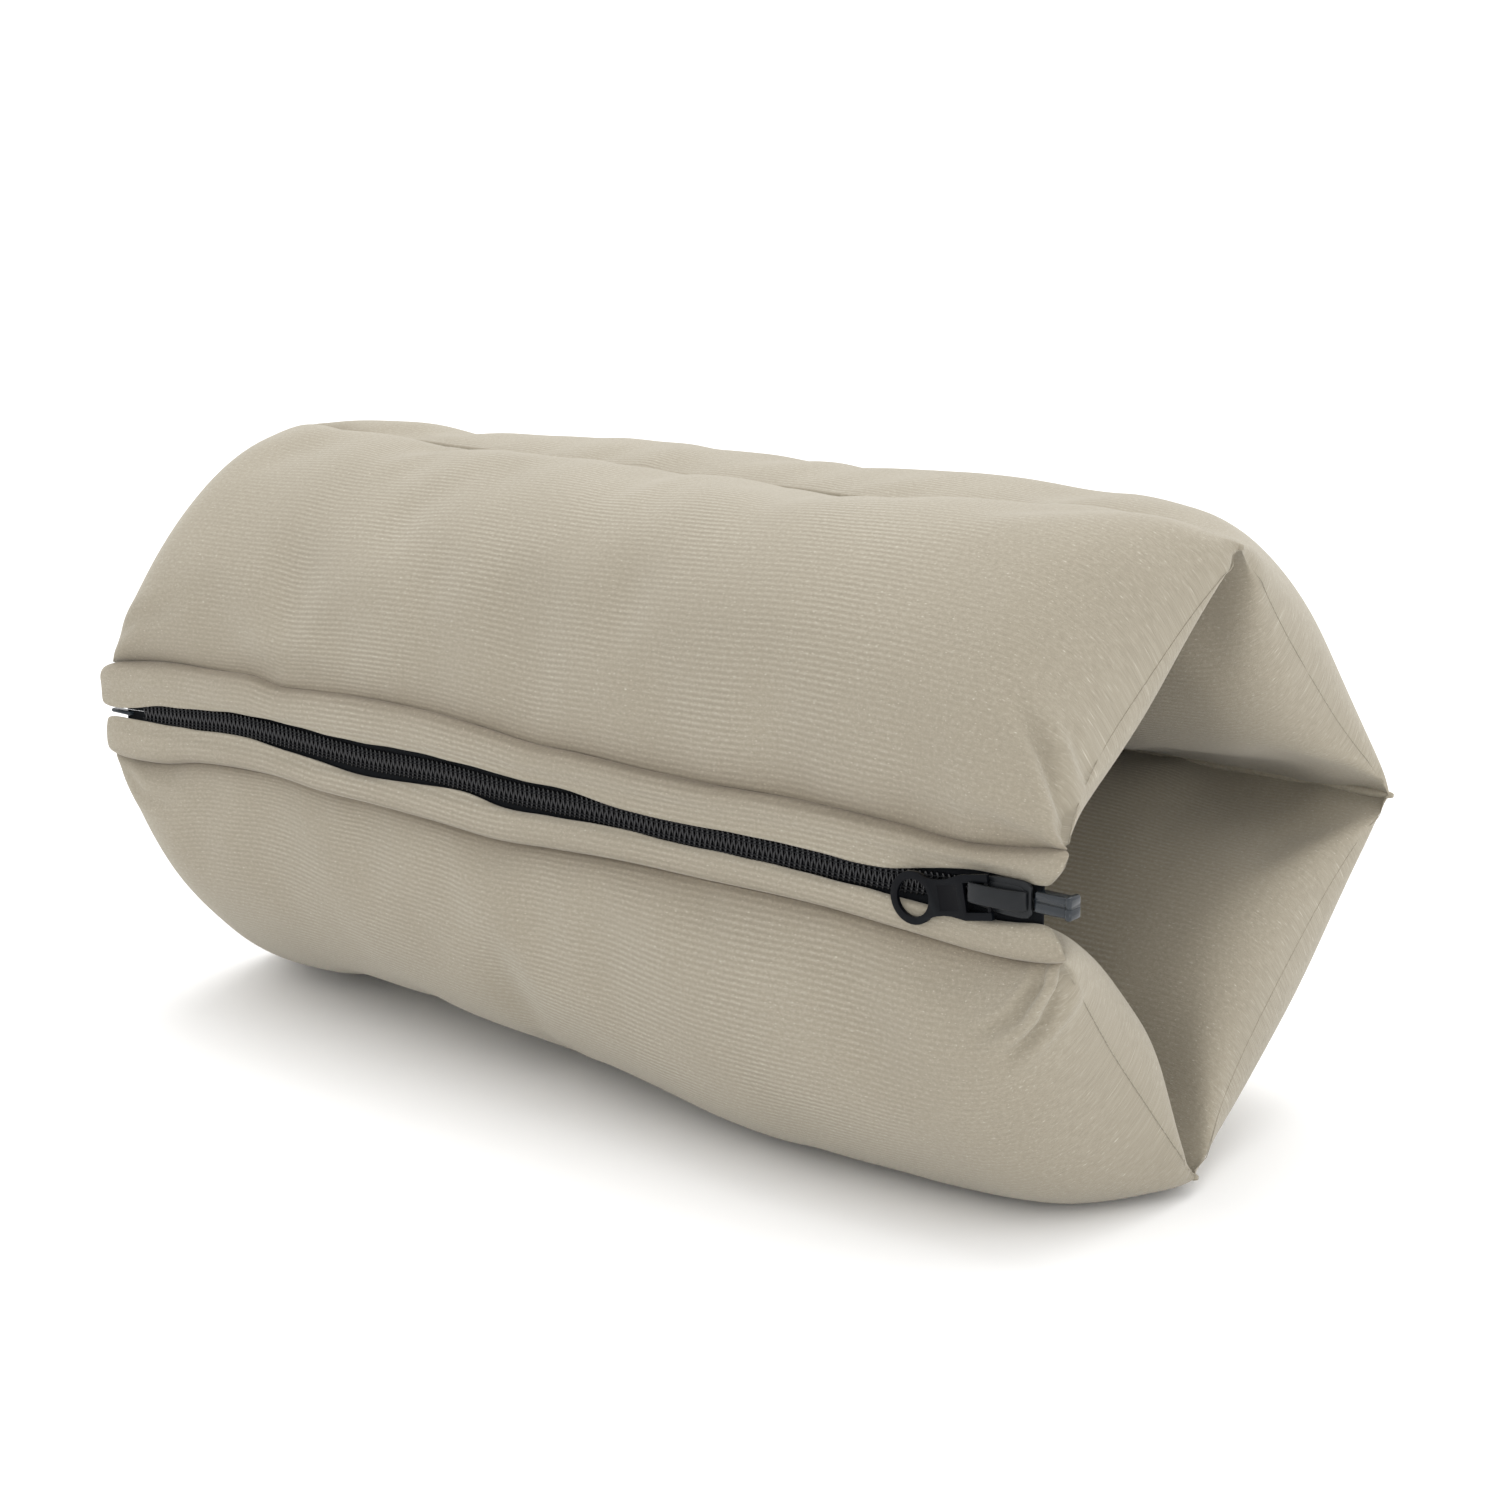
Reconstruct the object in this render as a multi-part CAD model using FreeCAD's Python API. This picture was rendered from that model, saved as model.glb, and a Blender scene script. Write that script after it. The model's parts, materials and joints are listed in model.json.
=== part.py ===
"""Lumbar cushion: a mat of four stuffed channels, zipped into an open-ended roll.

The mat's three fold seams are hinges.  Its two long outer edges meet at a coil
zipper, so the closed cushion is a hollow roll with a four-sided section.
Millimetres.  X runs along the roll, -Y is the zipped front, +Z is up.
The origin is the middle of the base, on the surface that the roll lies on.
"""

import FreeCAD, Part

import math
import os

from FreeCAD import Vector

# ---- driving dimensions -------------------------------------------------------

# Corners of the section, measured from the section's own centre (Y, Z).
CENTRE = (-3.0, 79.6)            # where that centre stands in the part's frame
TOP_FOLD = (1.0, 75.0)
REAR_FOLD = (79.0, 1.0)
BOTTOM_FOLD = (-9.5, -75.0)
ZIP_LINE = (-70.0, 6.0)
PLACKET_SEAM_OFFSET = 12.3       # zip line to each placket seam

# Stuffed channels
PANEL_LENGTH = 312.0             # along the roll, over the closed ends
CROWN_RISE = 32.0                # outer face above the chord between two seams
LINING_RISE_RATIO = 0.33         # inner rise over half the chord
END_ROUND = 34.0                 # length over which a channel's end closes
END_ROUND_SPARE = 5.0            # the end curve starts this far above the crown
SKIN = 1.5                       # knit cover with its thin wadding
SEAM_RADIUS = 1.2                # rolled seam allowance in each fold
SEAM_TOUCH = 1.25                # seam centre to the edge of the panel it is sewn to
SEAM_CLEAR = 1.6                 # seam centre to the edge of the panel that swings
SEAM_LENGTH = 310.0
END_SEAM_STAND = 1.2             # how far a closed end's seam stands proud
END_SEAM_THICK = 1.0
END_SEAM_ROOT = 1.0              # how far inside the end the ridge starts
END_SEAM_SETBACK = 7.0           # end seam stops this far from each fold

# Zipper, as layers from the inside of the roll outwards
TAPE_BACK = 1.3                  # tape's inner face behind the zip plane
TAPE_THICK = 0.5
TAPE_INNER = 1.2                 # zip line to each tape's woven edge
TAPE_OUTER = 11.0
TAPE_END = 160.5                 # half the zipper's overall length
PLACKET_THICK = 1.3
PLACKET_INNER = 4.8              # zip line to each placket's folded edge
COIL_THICK = 1.3
COIL_TAPE_GAP = 0.05
COIL_HALF_WIDTH = 3.0
COIL_SPINE = 1.1                 # zip line to the row of loops behind the teeth
TOOTH_REACH = 0.9                # how far a tooth crosses the zip line
TOOTH_PITCH = 1.6
TOOTH_WIDTH = 0.7
COIL_START = -150.0

# Slider and pull
SLIDER_REAR = 134.0
SLIDER_FRONT = 150.0
SLIDER_HALF_WIDTH = 4.3
SLIDER_NOSE_SHARE = 0.72         # nose and mouth as shares of the full width
SLIDER_MOUTH_SHARE = 0.9
SLIDER_SHOULDER_SHARE = 0.55     # how far along the plate it reaches full width
SLIDER_CORNER = 1.2
PLATE_THICK = 1.2
PLATE_GAP = 0.3                  # running clearance over coil and under tape
PARK_CLEARANCE = 0.6
PARK_TO_TAPE = 0.2               # full-width tape starts again this far before the stop
PULL_PIN_X = 139.5
PULL_PIN_HEIGHT = 0.95           # pin centre above the slider's front plate
PULL_PIN_RADIUS = 0.55
PULL_THICK = 1.1
PULL_RING_X = 119.5
PULL_RING_OUTER = 6.2
PULL_RING_HOLE = 4.2
PULL_NECK_HALF = 3.6
PULL_FRAME_HALF = 4.4
PULL_WINDOW_HALF = 2.9
PULL_WINDOW_REAR = 131.0
PULL_FRAME_SHOULDER = 3.0        # frame's full width before its window
CROWN_HALF_WIDTH = 2.3
CROWN_GAP = 1.85                 # crown's underside above the front plate
CROWN_THICK = 1.1
CROWN_LEG = 1.3
CROWN_NOSE = 2.4
CROWN_SETBACK = 0.6              # crown stops this far behind the plate's mouth
CROWN_ROUND = 0.9

# Zipper ends
STOP_START = 150.6
STOP_SPLIT = 0.2
STOP_HALF_WIDTH = 2.4
STOP_FRONT = 1.9                 # stop's outer face in front of the zip plane
STOP_BACK = 1.9
STOP_FLANGE = 1.8
STOP_FLANGE_STAND = 0.4
BOX_LENGTH = 8.3
BOX_STAND = 0.6                  # retaining box beyond the pin's and the stop's outline
PIN_LENGTH = 10.0
PIN_HEIGHT = 1.5

BIG = 400.0                      # larger than the whole part


# ---- geometry helpers -----------------------------------------------------------

def point(x, yz):
    """A point of the part's frame from a section position."""
    return Vector(x, CENTRE[0] + yz[0], CENTRE[1] + yz[1])


def block(x_span, y_span, z_span):
    """A box between three spans given in section coordinates."""
    corner = point(x_span[0], (y_span[0], z_span[0]))
    return Part.makeBox(x_span[1] - x_span[0], y_span[1] - y_span[0], z_span[1] - z_span[0], corner)


def rod(radius, x_span, yz):
    return Part.makeCylinder(radius, x_span[1] - x_span[0], point(x_span[0], yz), Vector(1, 0, 0))


def write(name, solids):
    shape = solids[0] if len(solids) == 1 else Part.makeCompound(solids)
    if not shape.isValid():
        raise ValueError(name + " is not a valid shape")
    shape.exportStep("parts/" + name + ".step")


# ---- stuffed channels -----------------------------------------------------------

class Channel:
    """One stuffed panel between two seams of the section.

    start and end follow the section counter-clockwise as seen from +X, and the
    gaps are the distances kept from the two seam centres.
    """

    def __init__(self, name, start, end, start_gap, end_gap):
        self.name = name
        first, last = point(0, start), point(0, end)
        self.along = (last - first).normalize()
        self.out = Vector(0, self.along.z, -self.along.y)
        self.first = first + self.along * start_gap
        self.last = last - self.along * end_gap

    def solid(self, inset):
        """The closed channel, or its hollow when inset is the skin's thickness."""
        first = self.first + self.along * inset
        last = self.last - self.along * inset
        middle = (first + last) * 0.5
        half = (last - first).Length / 2
        crown = CROWN_RISE - inset
        lining = half * LINING_RISE_RATIO - inset
        outer = Part.Arc(Part.Ellipse(last, middle + self.out * crown, middle), 0, math.pi)
        inner = Part.Arc(first, middle - self.out * lining, last)
        section = Part.Face(Part.Wire(Part.sortEdges([outer.toShape(), inner.toShape()])[0]))
        half_length = PANEL_LENGTH / 2 - inset
        section.translate(Vector(-half_length, 0, 0))
        prism = section.extrude(Vector(2 * half_length, 0, 0))
        closed = prism.common(self.end_profile(middle, half_length, crown, lining))
        floor = block((-BIG, BIG), (-BIG, BIG), (-CENTRE[1] - BIG, -CENTRE[1] + inset))
        return closed.cut(floor).Solids[0]

    def end_profile(self, middle, half_length, crown, lining):
        """A slab across the chord whose ends close in quarter ellipses."""
        high = crown + END_ROUND_SPARE
        low = lining + END_ROUND_SPARE
        inner_x = half_length - END_ROUND
        lengthwise = Vector(1, 0, 0)

        def quarter(side, height, outward):
            centre = middle + lengthwise * (side * inner_x)
            end = centre + lengthwise * (side * END_ROUND)
            top = centre + outward * height
            longer, shorter = (end, top) if END_ROUND >= height else (top, end)
            ellipse = Part.Ellipse(longer, shorter, centre)
            return Part.Arc(ellipse, 0, math.pi / 2).toShape()

        def flat(height, outward):
            lift = middle + outward * height
            return Part.makeLine(lift - lengthwise * inner_x, lift + lengthwise * inner_x)

        edges = [
            quarter(1, high, self.out),
            quarter(-1, high, self.out),
            quarter(1, low, -self.out),
            quarter(-1, low, -self.out),
            flat(high, self.out),
            flat(low, -self.out),
        ]
        face = Part.Face(Part.Wire(Part.sortEdges(edges)[0]))
        face.translate(self.along * -BIG)
        return face.extrude(self.along * (2 * BIG))

    def half_space(self, side):
        """Everything on one side of the chord: 1 is outside the roll, -1 inside."""
        base = self.first + self.out * (side * BIG / 2)
        box = Part.makeBox(2 * BIG, 2 * BIG, BIG, Vector(-BIG, -BIG, -BIG / 2))
        turn = FreeCAD.Rotation(Vector(0, 0, 1), self.out)
        box.Placement = FreeCAD.Placement(base, turn).multiply(box.Placement)
        return box

    def end_seams(self, body):
        """The sewn ridges that close the channel's two ends."""
        ridges = []
        reach = (self.last - self.first).Length - 2 * END_SEAM_SETBACK
        for side in (-1, 1):
            x = side * (PANEL_LENGTH / 2 - END_SEAM_ROOT)
            half_deep = END_SEAM_STAND + END_SEAM_ROOT
            ridge = Part.makeBox(
                2 * half_deep, reach, END_SEAM_THICK,
                Vector(-half_deep, 0, -END_SEAM_THICK / 2))
            turn = FreeCAD.Rotation(Vector(1, 0, 0), self.along, self.out, "XYZ")
            start = self.first + self.along * END_SEAM_SETBACK
            ridge.Placement = FreeCAD.Placement(
                Vector(x, start.y, start.z), turn).multiply(ridge.Placement)
            pieces = ridge.cut(body).Solids
            ridges.append(max(pieces, key=lambda piece: piece.CenterOfMass.x * side))
        return ridges

    def write_nodes(self):
        body = self.solid(0)
        filling = self.solid(SKIN)
        skin = body.cut(filling)
        write(self.name + "_cover", skin.common(self.half_space(1)).Solids)
        write(self.name + "_lining", skin.common(self.half_space(-1)).Solids)
        write(self.name + "_filling", [filling])
        write(self.name + "_end_seams", self.end_seams(body))


def fold_seam(name, corner):
    write(name, [rod(SEAM_RADIUS, (-SEAM_LENGTH / 2, SEAM_LENGTH / 2), corner)])


# ---- zipper ---------------------------------------------------------------------

def zip_span(side, near, far):
    """Span in Z from near to far on one side (1 above, -1 below) of the zip line."""
    first = ZIP_LINE[1] + side * near
    second = ZIP_LINE[1] + side * far
    return (min(first, second), max(first, second))


def layer(front, back):
    """Span in Y from front to back, both measured outwards from the zip plane."""
    return (ZIP_LINE[0] - front, ZIP_LINE[0] - back)


def placket(side):
    """Folded strip of cover fabric beside the zip, and the seam that joins it on."""
    name = "upper" if side > 0 else "lower"
    x_span = (-SEAM_LENGTH / 2, SEAM_LENGTH / 2)
    across = zip_span(side, PLACKET_INNER, PLACKET_SEAM_OFFSET - SEAM_TOUCH)
    strip = block(x_span, layer(PLACKET_THICK / 2, -PLACKET_THICK / 2), across)
    write("placket_" + name, [strip])
    centre = (ZIP_LINE[0], ZIP_LINE[1] + side * PLACKET_SEAM_OFFSET)
    write("placket_seam_" + name, [rod(SEAM_RADIUS, x_span, centre)])


def tape(side):
    """Woven tape that carries one half of the coil."""
    depth = layer(TAPE_THICK - TAPE_BACK, -TAPE_BACK)
    strip = block((-TAPE_END, TAPE_END), depth, zip_span(side, TAPE_INNER, TAPE_OUTER))
    if side > 0:
        parked = (SLIDER_REAR - PARK_CLEARANCE, STOP_START - PARK_TO_TAPE)
        strip = strip.cut(block(parked, depth, zip_span(side, 0, PLACKET_INNER)))
    return strip


def coil_front():
    """Outer face of the coil, measured outwards from the zip plane."""
    return TAPE_THICK - TAPE_BACK + COIL_TAPE_GAP + COIL_THICK


def coil(side, end):
    """One half of the coil as a rack of teeth; the two halves alternate along X."""
    spine = COIL_SPINE
    tip = -TOOTH_REACH
    first = COIL_START + (0 if side > 0 else TOOTH_PITCH / 2)
    outline = [(COIL_START, COIL_HALF_WIDTH), (COIL_START, spine)]
    count = int((end - first - TOOTH_WIDTH) / TOOTH_PITCH)
    for index in range(1, count):
        left = first + index * TOOTH_PITCH
        right = left + TOOTH_WIDTH
        outline += [(left, spine), (left, tip), (right, tip), (right, spine)]
    outline += [(end, spine), (end, COIL_HALF_WIDTH)]
    y = ZIP_LINE[0] - coil_front()
    corners = [point(x, (y, ZIP_LINE[1] + side * z)) for x, z in outline]
    face = Part.Face(Part.makePolygon(corners + corners[:1]))
    return face.extrude(Vector(0, COIL_THICK, 0))


def top_stop(side, strip):
    """Half of the moulded stop that ends the zip, with its rounded flange."""
    depth = layer(STOP_FRONT, -STOP_BACK)
    body = block((STOP_START, TAPE_END), depth, zip_span(side, STOP_SPLIT, STOP_HALF_WIDTH))
    stand = STOP_FLANGE_STAND
    flange = block(
        (TAPE_END - STOP_FLANGE, TAPE_END),
        layer(STOP_FRONT + stand, -STOP_BACK - stand),
        zip_span(side, STOP_SPLIT, STOP_HALF_WIDTH + stand))
    return body.fuse(flange).removeSplitter().cut(strip).Solids


def separating_end(upper_tape, lower_tape):
    """Insertion pin on the upper tape, and the retaining box on the lower one."""
    pin = block(
        (-TAPE_END, -TAPE_END + PIN_LENGTH), layer(COIL_THICK, -TAPE_BACK),
        zip_span(1, STOP_SPLIT, PIN_HEIGHT))
    write("insertion_pin", pin.cut(upper_tape).Solids)
    box = block(
        (-TAPE_END, -TAPE_END + BOX_LENGTH),
        layer(COIL_THICK + BOX_STAND, -TAPE_BACK - BOX_STAND),
        zip_span(-1, STOP_SPLIT, STOP_HALF_WIDTH + BOX_STAND))
    write("retaining_box", box.cut(lower_tape).Solids)


def zipper():
    upper_tape, lower_tape = tape(1), tape(-1)
    write("zip_tape_upper", [upper_tape])
    write("zip_tape_lower", [lower_tape])
    write("zip_coil_upper", [coil(1, SLIDER_REAR - PARK_CLEARANCE)])
    write("zip_coil_lower", [coil(-1, SLIDER_FRONT)])
    write("top_stop_upper", top_stop(1, upper_tape))
    write("top_stop_lower", top_stop(-1, lower_tape))
    separating_end(upper_tape, lower_tape)


# ---- slider and pull --------------------------------------------------------------

def slider_outline(y, thick):
    """A slider plate: wide at its mouth, narrower at its nose, corners rounded."""
    half = SLIDER_HALF_WIDTH
    nose = half * SLIDER_NOSE_SHARE
    mouth = half * SLIDER_MOUTH_SHARE
    shoulder = SLIDER_REAR + (SLIDER_FRONT - SLIDER_REAR) * SLIDER_SHOULDER_SHARE
    outline = [
        (SLIDER_REAR, -nose), (SLIDER_REAR, nose), (shoulder, half),
        (SLIDER_FRONT, mouth), (SLIDER_FRONT, -mouth), (shoulder, -half),
    ]
    corners = [point(x, (y, ZIP_LINE[1] + z)) for x, z in outline]
    face = Part.Face(Part.makePolygon(corners + corners[:1]))
    plate = face.extrude(Vector(0, thick, 0))
    upright = [edge for edge in plate.Edges if abs(edge.tangentAt(edge.FirstParameter).y) > 0.9]
    return plate.makeFillet(SLIDER_CORNER, upright)


def front_plate_face():
    """Outer face of the slider's front plate, measured outwards from the zip plane."""
    return coil_front() + PLATE_GAP + PLATE_THICK


def slider():
    """Two plates around the coil, and the crown on the front plate that holds the pull."""
    base = front_plate_face()
    write("slider_front_plate", [slider_outline(ZIP_LINE[0] - base, PLATE_THICK)])
    write("slider_rear_plate", [slider_outline(ZIP_LINE[0] + TAPE_BACK + PLATE_GAP, PLATE_THICK)])
    width = zip_span(1, -CROWN_HALF_WIDTH, CROWN_HALF_WIDTH)
    top = base + CROWN_GAP + CROWN_THICK
    crown_end = SLIDER_FRONT - CROWN_SETBACK
    crown = block((SLIDER_REAR, crown_end), layer(top, base), width)
    tunnel = block(
        (SLIDER_REAR + CROWN_LEG, crown_end - CROWN_NOSE), layer(base + CROWN_GAP, base), width)
    crown = crown.cut(tunnel)
    outer = [
        edge for edge in crown.Edges
        if abs(edge.tangentAt(edge.FirstParameter).z) > 0.9
        and edge.CenterOfMass.y < CENTRE[0] + ZIP_LINE[0] - top + 0.01
    ]
    write("slider_crown", [crown.makeFillet(CROWN_ROUND, outer)])


def pull_tab():
    """Ring, neck and open frame of the pull, with the cross pin it turns on."""
    height = front_plate_face() + PULL_PIN_HEIGHT
    depth = layer(height + PULL_THICK / 2, height - PULL_THICK / 2)
    y = ZIP_LINE[0] - height - PULL_THICK / 2
    outward = Vector(0, 1, 0)

    def disc(radius):
        return Part.makeCylinder(radius, PULL_THICK, point(PULL_RING_X, (y, ZIP_LINE[1])), outward)

    def strip(x_span, half):
        return block(x_span, depth, zip_span(1, -half, half))

    tab = disc(PULL_RING_OUTER).fuse(strip((PULL_RING_X, PULL_WINDOW_REAR), PULL_NECK_HALF))
    frame_end = PULL_PIN_X + PULL_PIN_RADIUS
    frame_start = PULL_WINDOW_REAR - PULL_FRAME_SHOULDER
    tab = tab.fuse(strip((frame_start, frame_end), PULL_FRAME_HALF))
    tab = tab.cut(strip((PULL_WINDOW_REAR, PULL_PIN_X + PULL_FRAME_SHOULDER), PULL_WINDOW_HALF))
    pin = Part.makeCylinder(
        PULL_PIN_RADIUS, 2 * PULL_FRAME_HALF,
        point(PULL_PIN_X, (ZIP_LINE[0] - height, ZIP_LINE[1] - PULL_FRAME_HALF)), Vector(0, 0, 1))
    tab = tab.cut(disc(PULL_RING_HOLE)).fuse(pin).removeSplitter()
    write("pull_tab", tab.Solids)


def main():
    os.makedirs("parts", exist_ok=True)
    upper_placket_seam = (ZIP_LINE[0], ZIP_LINE[1] + PLACKET_SEAM_OFFSET)
    lower_placket_seam = (ZIP_LINE[0], ZIP_LINE[1] - PLACKET_SEAM_OFFSET)
    channels = [
        Channel("lower_rear", BOTTOM_FOLD, REAR_FOLD, SEAM_TOUCH, SEAM_TOUCH),
        Channel("upper_rear", REAR_FOLD, TOP_FOLD, SEAM_CLEAR, SEAM_TOUCH),
        Channel("upper_front", TOP_FOLD, upper_placket_seam, SEAM_CLEAR, SEAM_TOUCH),
        Channel("lower_front", lower_placket_seam, BOTTOM_FOLD, SEAM_TOUCH, SEAM_CLEAR),
    ]
    for channel in channels:
        channel.write_nodes()
    fold_seam("fold_seam_bottom", BOTTOM_FOLD)
    fold_seam("fold_seam_rear", REAR_FOLD)
    fold_seam("fold_seam_top", TOP_FOLD)
    placket(1)
    placket(-1)
    zipper()
    slider()
    pull_tab()


main()
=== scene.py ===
"""Looks of the lumbar cushion: four stuffed knit channels zipped into a hollow roll.

Everything is in metres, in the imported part's own frame: X along the roll, -Y the
zipped front, +Z up.  Places come from the frame's joints and node boxes.
"""

import json
import math

import bmesh
import bpy
import numpy as np
from mathutils import Matrix, Vector


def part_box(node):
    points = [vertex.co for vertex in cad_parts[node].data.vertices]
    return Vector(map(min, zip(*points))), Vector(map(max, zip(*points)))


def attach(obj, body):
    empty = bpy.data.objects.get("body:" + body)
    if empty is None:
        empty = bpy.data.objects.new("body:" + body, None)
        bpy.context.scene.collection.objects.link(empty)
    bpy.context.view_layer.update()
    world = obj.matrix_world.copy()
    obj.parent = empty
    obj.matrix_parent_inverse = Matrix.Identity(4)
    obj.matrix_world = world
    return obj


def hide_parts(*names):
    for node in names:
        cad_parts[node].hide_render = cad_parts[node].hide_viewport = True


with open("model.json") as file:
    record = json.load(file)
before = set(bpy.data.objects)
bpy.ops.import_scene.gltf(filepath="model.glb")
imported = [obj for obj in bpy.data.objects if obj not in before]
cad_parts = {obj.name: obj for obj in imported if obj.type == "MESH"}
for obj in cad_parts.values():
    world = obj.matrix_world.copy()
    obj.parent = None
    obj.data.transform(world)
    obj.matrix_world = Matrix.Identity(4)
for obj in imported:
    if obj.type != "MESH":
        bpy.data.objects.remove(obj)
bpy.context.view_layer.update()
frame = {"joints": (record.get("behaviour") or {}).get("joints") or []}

MM = 0.001
JOINTS = {joint["name"]: joint for joint in frame["joints"]}


# ---- places taken from the frame ----

def joint_yz(name):
    """Where a joint's axis crosses the section, as (y, z)."""
    place = JOINTS[name]["pos_m"]
    return np.array([place[1], place[2]])


def node_middle(node):
    low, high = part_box(node)
    return (np.array(low) + np.array(high)) / 2


FOLD_BOTTOM = joint_yz("fold_bottom")
FOLD_REAR = joint_yz("fold_rear")
FOLD_TOP = joint_yz("fold_top")
SEAM_UPPER = node_middle("placket_seam_upper")[1:]
SEAM_LOWER = node_middle("placket_seam_lower")[1:]
ZIP_Y = (SEAM_UPPER[0] + SEAM_LOWER[0]) / 2
ZIP_Z = (SEAM_UPPER[1] + SEAM_LOWER[1]) / 2
HALF_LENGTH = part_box("upper_front_cover")[1].x
TAPE_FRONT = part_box("zip_tape_lower")[0].y
TAPE_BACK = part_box("zip_tape_lower")[1].y
COIL_LOW, COIL_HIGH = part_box("zip_coil_lower")
PIN_PLACE = Vector(JOINTS["pull_flip"]["pos_m"])

# ---- driving looks ----

CROWN_RISE = 32 * MM          # outer face above the chord between two seams
LINING_RATIO = {              # inner rise over half the chord
    "lower_rear": 0.32, "upper_rear": 0.32, "upper_front": 0.33, "lower_front": 0.38,
}
MEAN_FULLNESS = 0.85          # share of the crown's rise that the fabric's length is taken from
LEFT_SPARE = 4.0 * MM         # channel ends stand past the plain ones by this much
RIGHT_SPARE = 0.8 * MM
ZIP_SPARE = 1.4 * MM          # more at the left end beside the zip
CORNER_CLOSE = 36 * MM        # the crown falls away over this much more beside a fold seam
ZIP_CORNER_SHARE = (0.08, 0.6)    # share of that kept beside the zip, at the left and right end
CLOSE_POWER = 2.4             # how blunt the closed ends are
EAR_POWER = 3                 # how sharply the closed ends run out to their corners
RIB_PITCH = 1.42 * MM         # knit rib across the roll
RIBS_FADE = 60 * MM           # the ribs fade over this length at each end
ALONG_CELLS = 112
ACROSS_CELLS = 44
END_CELLS_SHARE = 0.30        # share of the cells that the two ends take
END_SPAN = 34 * MM            # length that those cells cover at each end
FLOOR_GAP = 0.1 * MM
FLOOR_SOFTNESS = 1.2 * MM     # how gently the cloth flattens where it rests

# Stuffing that wells up behind the lower placket: its reach and start as shares of the
# lining's half width, and how far it pushes back and up
WELL_REACH = 0.34
WELL_START = 0.05
WELL_PUSH = (2.2, 6.0)

# Unevenness of the stuffed surface: wavelength and height
BROAD_WAVE = (95 * MM, 0.8 * MM)
LUMP_WAVE = (40 * MM, 0.22 * MM)
LUMP_STRETCH = (1.6, 1, 1)
PUCKER_WAVE = (9 * MM, 0.28 * MM)
PUCKER_BAND = (5 * MM, 4.5 * MM)  # the puckers' distance from the seam, and their spread
SEAM_QUIET = 16 * MM          # the broad unevenness starts over this distance

# Painted shade beside a sewn line, darkening the knit's colour: depth and width
ZIP_PAINTED_SHADE = (0.75, 4.2 * MM)
FOLD_PAINTED_SHADE = (0.35, 2.5 * MM)

# Cloth simulation
SIM_FRAMES = 20
SIM_CAP = 5 * MM              # how far the simulated cloth may leave its pattern
SIM_SMOOTHING = 6             # passes over the cloth's movement
CLOTH = {
    "quality": 6,
    "mass": 0.25,
    "tension_stiffness": 18,
    "compression_stiffness": 18,
    "shear_stiffness": 6,
    "bending_stiffness": 2.0,
    "use_pressure": True,
    "uniform_pressure_force": 4.0,
    "shrink_min": -0.02,
    "vertex_group_mass": "pins",
}


# ---- curves listed in millimetres along the roll ----

def smooth_curve(x, knots):
    """Smooth interpolation through (x, value) knots; x in metres, values in knots as given."""
    places = np.array([k[0] for k in knots]) * MM
    values = np.array([k[1] for k in knots], float)
    x = np.clip(np.asarray(x, float), places[0], places[-1])
    slot = np.clip(np.searchsorted(places, x) - 1, 0, len(places) - 2)
    t = (x - places[slot]) / (places[slot + 1] - places[slot])
    slopes = np.gradient(values, places)
    h = places[slot + 1] - places[slot]
    return (
        (2 * t ** 3 - 3 * t ** 2 + 1) * values[slot]
        + (t ** 3 - 2 * t ** 2 + t) * h * slopes[slot]
        + (-2 * t ** 3 + 3 * t ** 2) * values[slot + 1]
        + (t ** 3 - t ** 2) * h * slopes[slot + 1])


# Height of the sewn lines above their straight places
UPPER_SEAM_WAVE = [(-161, -1.4), (-152, -0.3), (-139, 1.2), (-115, 1.8), (-103, 2.2), (-91, 1.0),
                   (-80, 1.5), (-57, 2.3), (-35, 2.0), (-14, 0.4), (-3, -0.7), (16, -1.0), (35, -1.7),
                   (54, -2.0), (81, -1.4), (107, -2.0), (134, -3.0), (148, -1.4), (158, 0.2)]
LOWER_SEAM_WAVE = [(-161, -2.4), (-139, -2.0), (-127, 0.1), (-115, 1.1), (-91, 1.3), (-78, 0.2),
                   (-57, -0.1), (-35, -1.0), (-14, -2.1), (6, -1.1), (26, -0.2), (54, 0), (95, 0),
                   (112, -1.0), (148, -2.0), (158, -0.8)]
SEAM_DEPTH = 1.5 * MM         # the placket seams lie this far behind the zip's plane
ZIP_WAVE = [(-163, -2.0), (-140, -1.0), (-107, 0.9), (-87, 0.3), (-60, -0.8), (-30, -0.4), (-10, -1.4),
            (20, -1.5), (45, -2.2), (80, -2.2), (108, -2.3), (125, -1.3), (140, -0.4), (161, 0)]
# Height of each placket's folded edge above the straight zip line
UPPER_EDGE = [(-163, -1.9), (-152, -0.6), (-139, 1.6), (-128, 2.3), (-107, 4.0), (-87, 3.9), (-67, 3.2),
              (-38, 3.7), (-20, 3.1), (-2, 2.3), (15, 2.1), (25, 1.0), (34, 0.1), (50, 0.0), (75, 0.5),
              (96, 0.1), (111, -0.3), (122, 1.6), (134, 3.6), (150, 3.6), (158, 2.8)]
LOWER_EDGE = [(-163, -2.4), (-150, -3.2), (-128, -3.0), (-107, -2.0), (-87, -3.3), (-57, -5.3), (-38, -4.4),
              (-20, -3.9), (-9, -5.6), (7, -5.2), (24, -4.5), (50, -4.9), (81, -4.9), (110, -5.8),
              (135, -6.4), (150, -5.8), (158, -4.2)]
# Closing lengths of the outer and inner faces and the pull-in of the end seam, for each
# channel's left and right end, in millimetres
ENDS = {
    "lower_rear": ((30, 20, 6), (36, 20, 6)),
    "upper_rear": ((34, 20, 6), (48, 20, 6)),
    "upper_front": ((18, 18, 4), (24, 18, 6)),
    "lower_front": ((28, 18, 4), (26, 11, 3)),
}
# Which end of its section a front channel turns towards the zip
ZIP_SIDE = {"upper_front": 1, "lower_front": -1}
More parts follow.
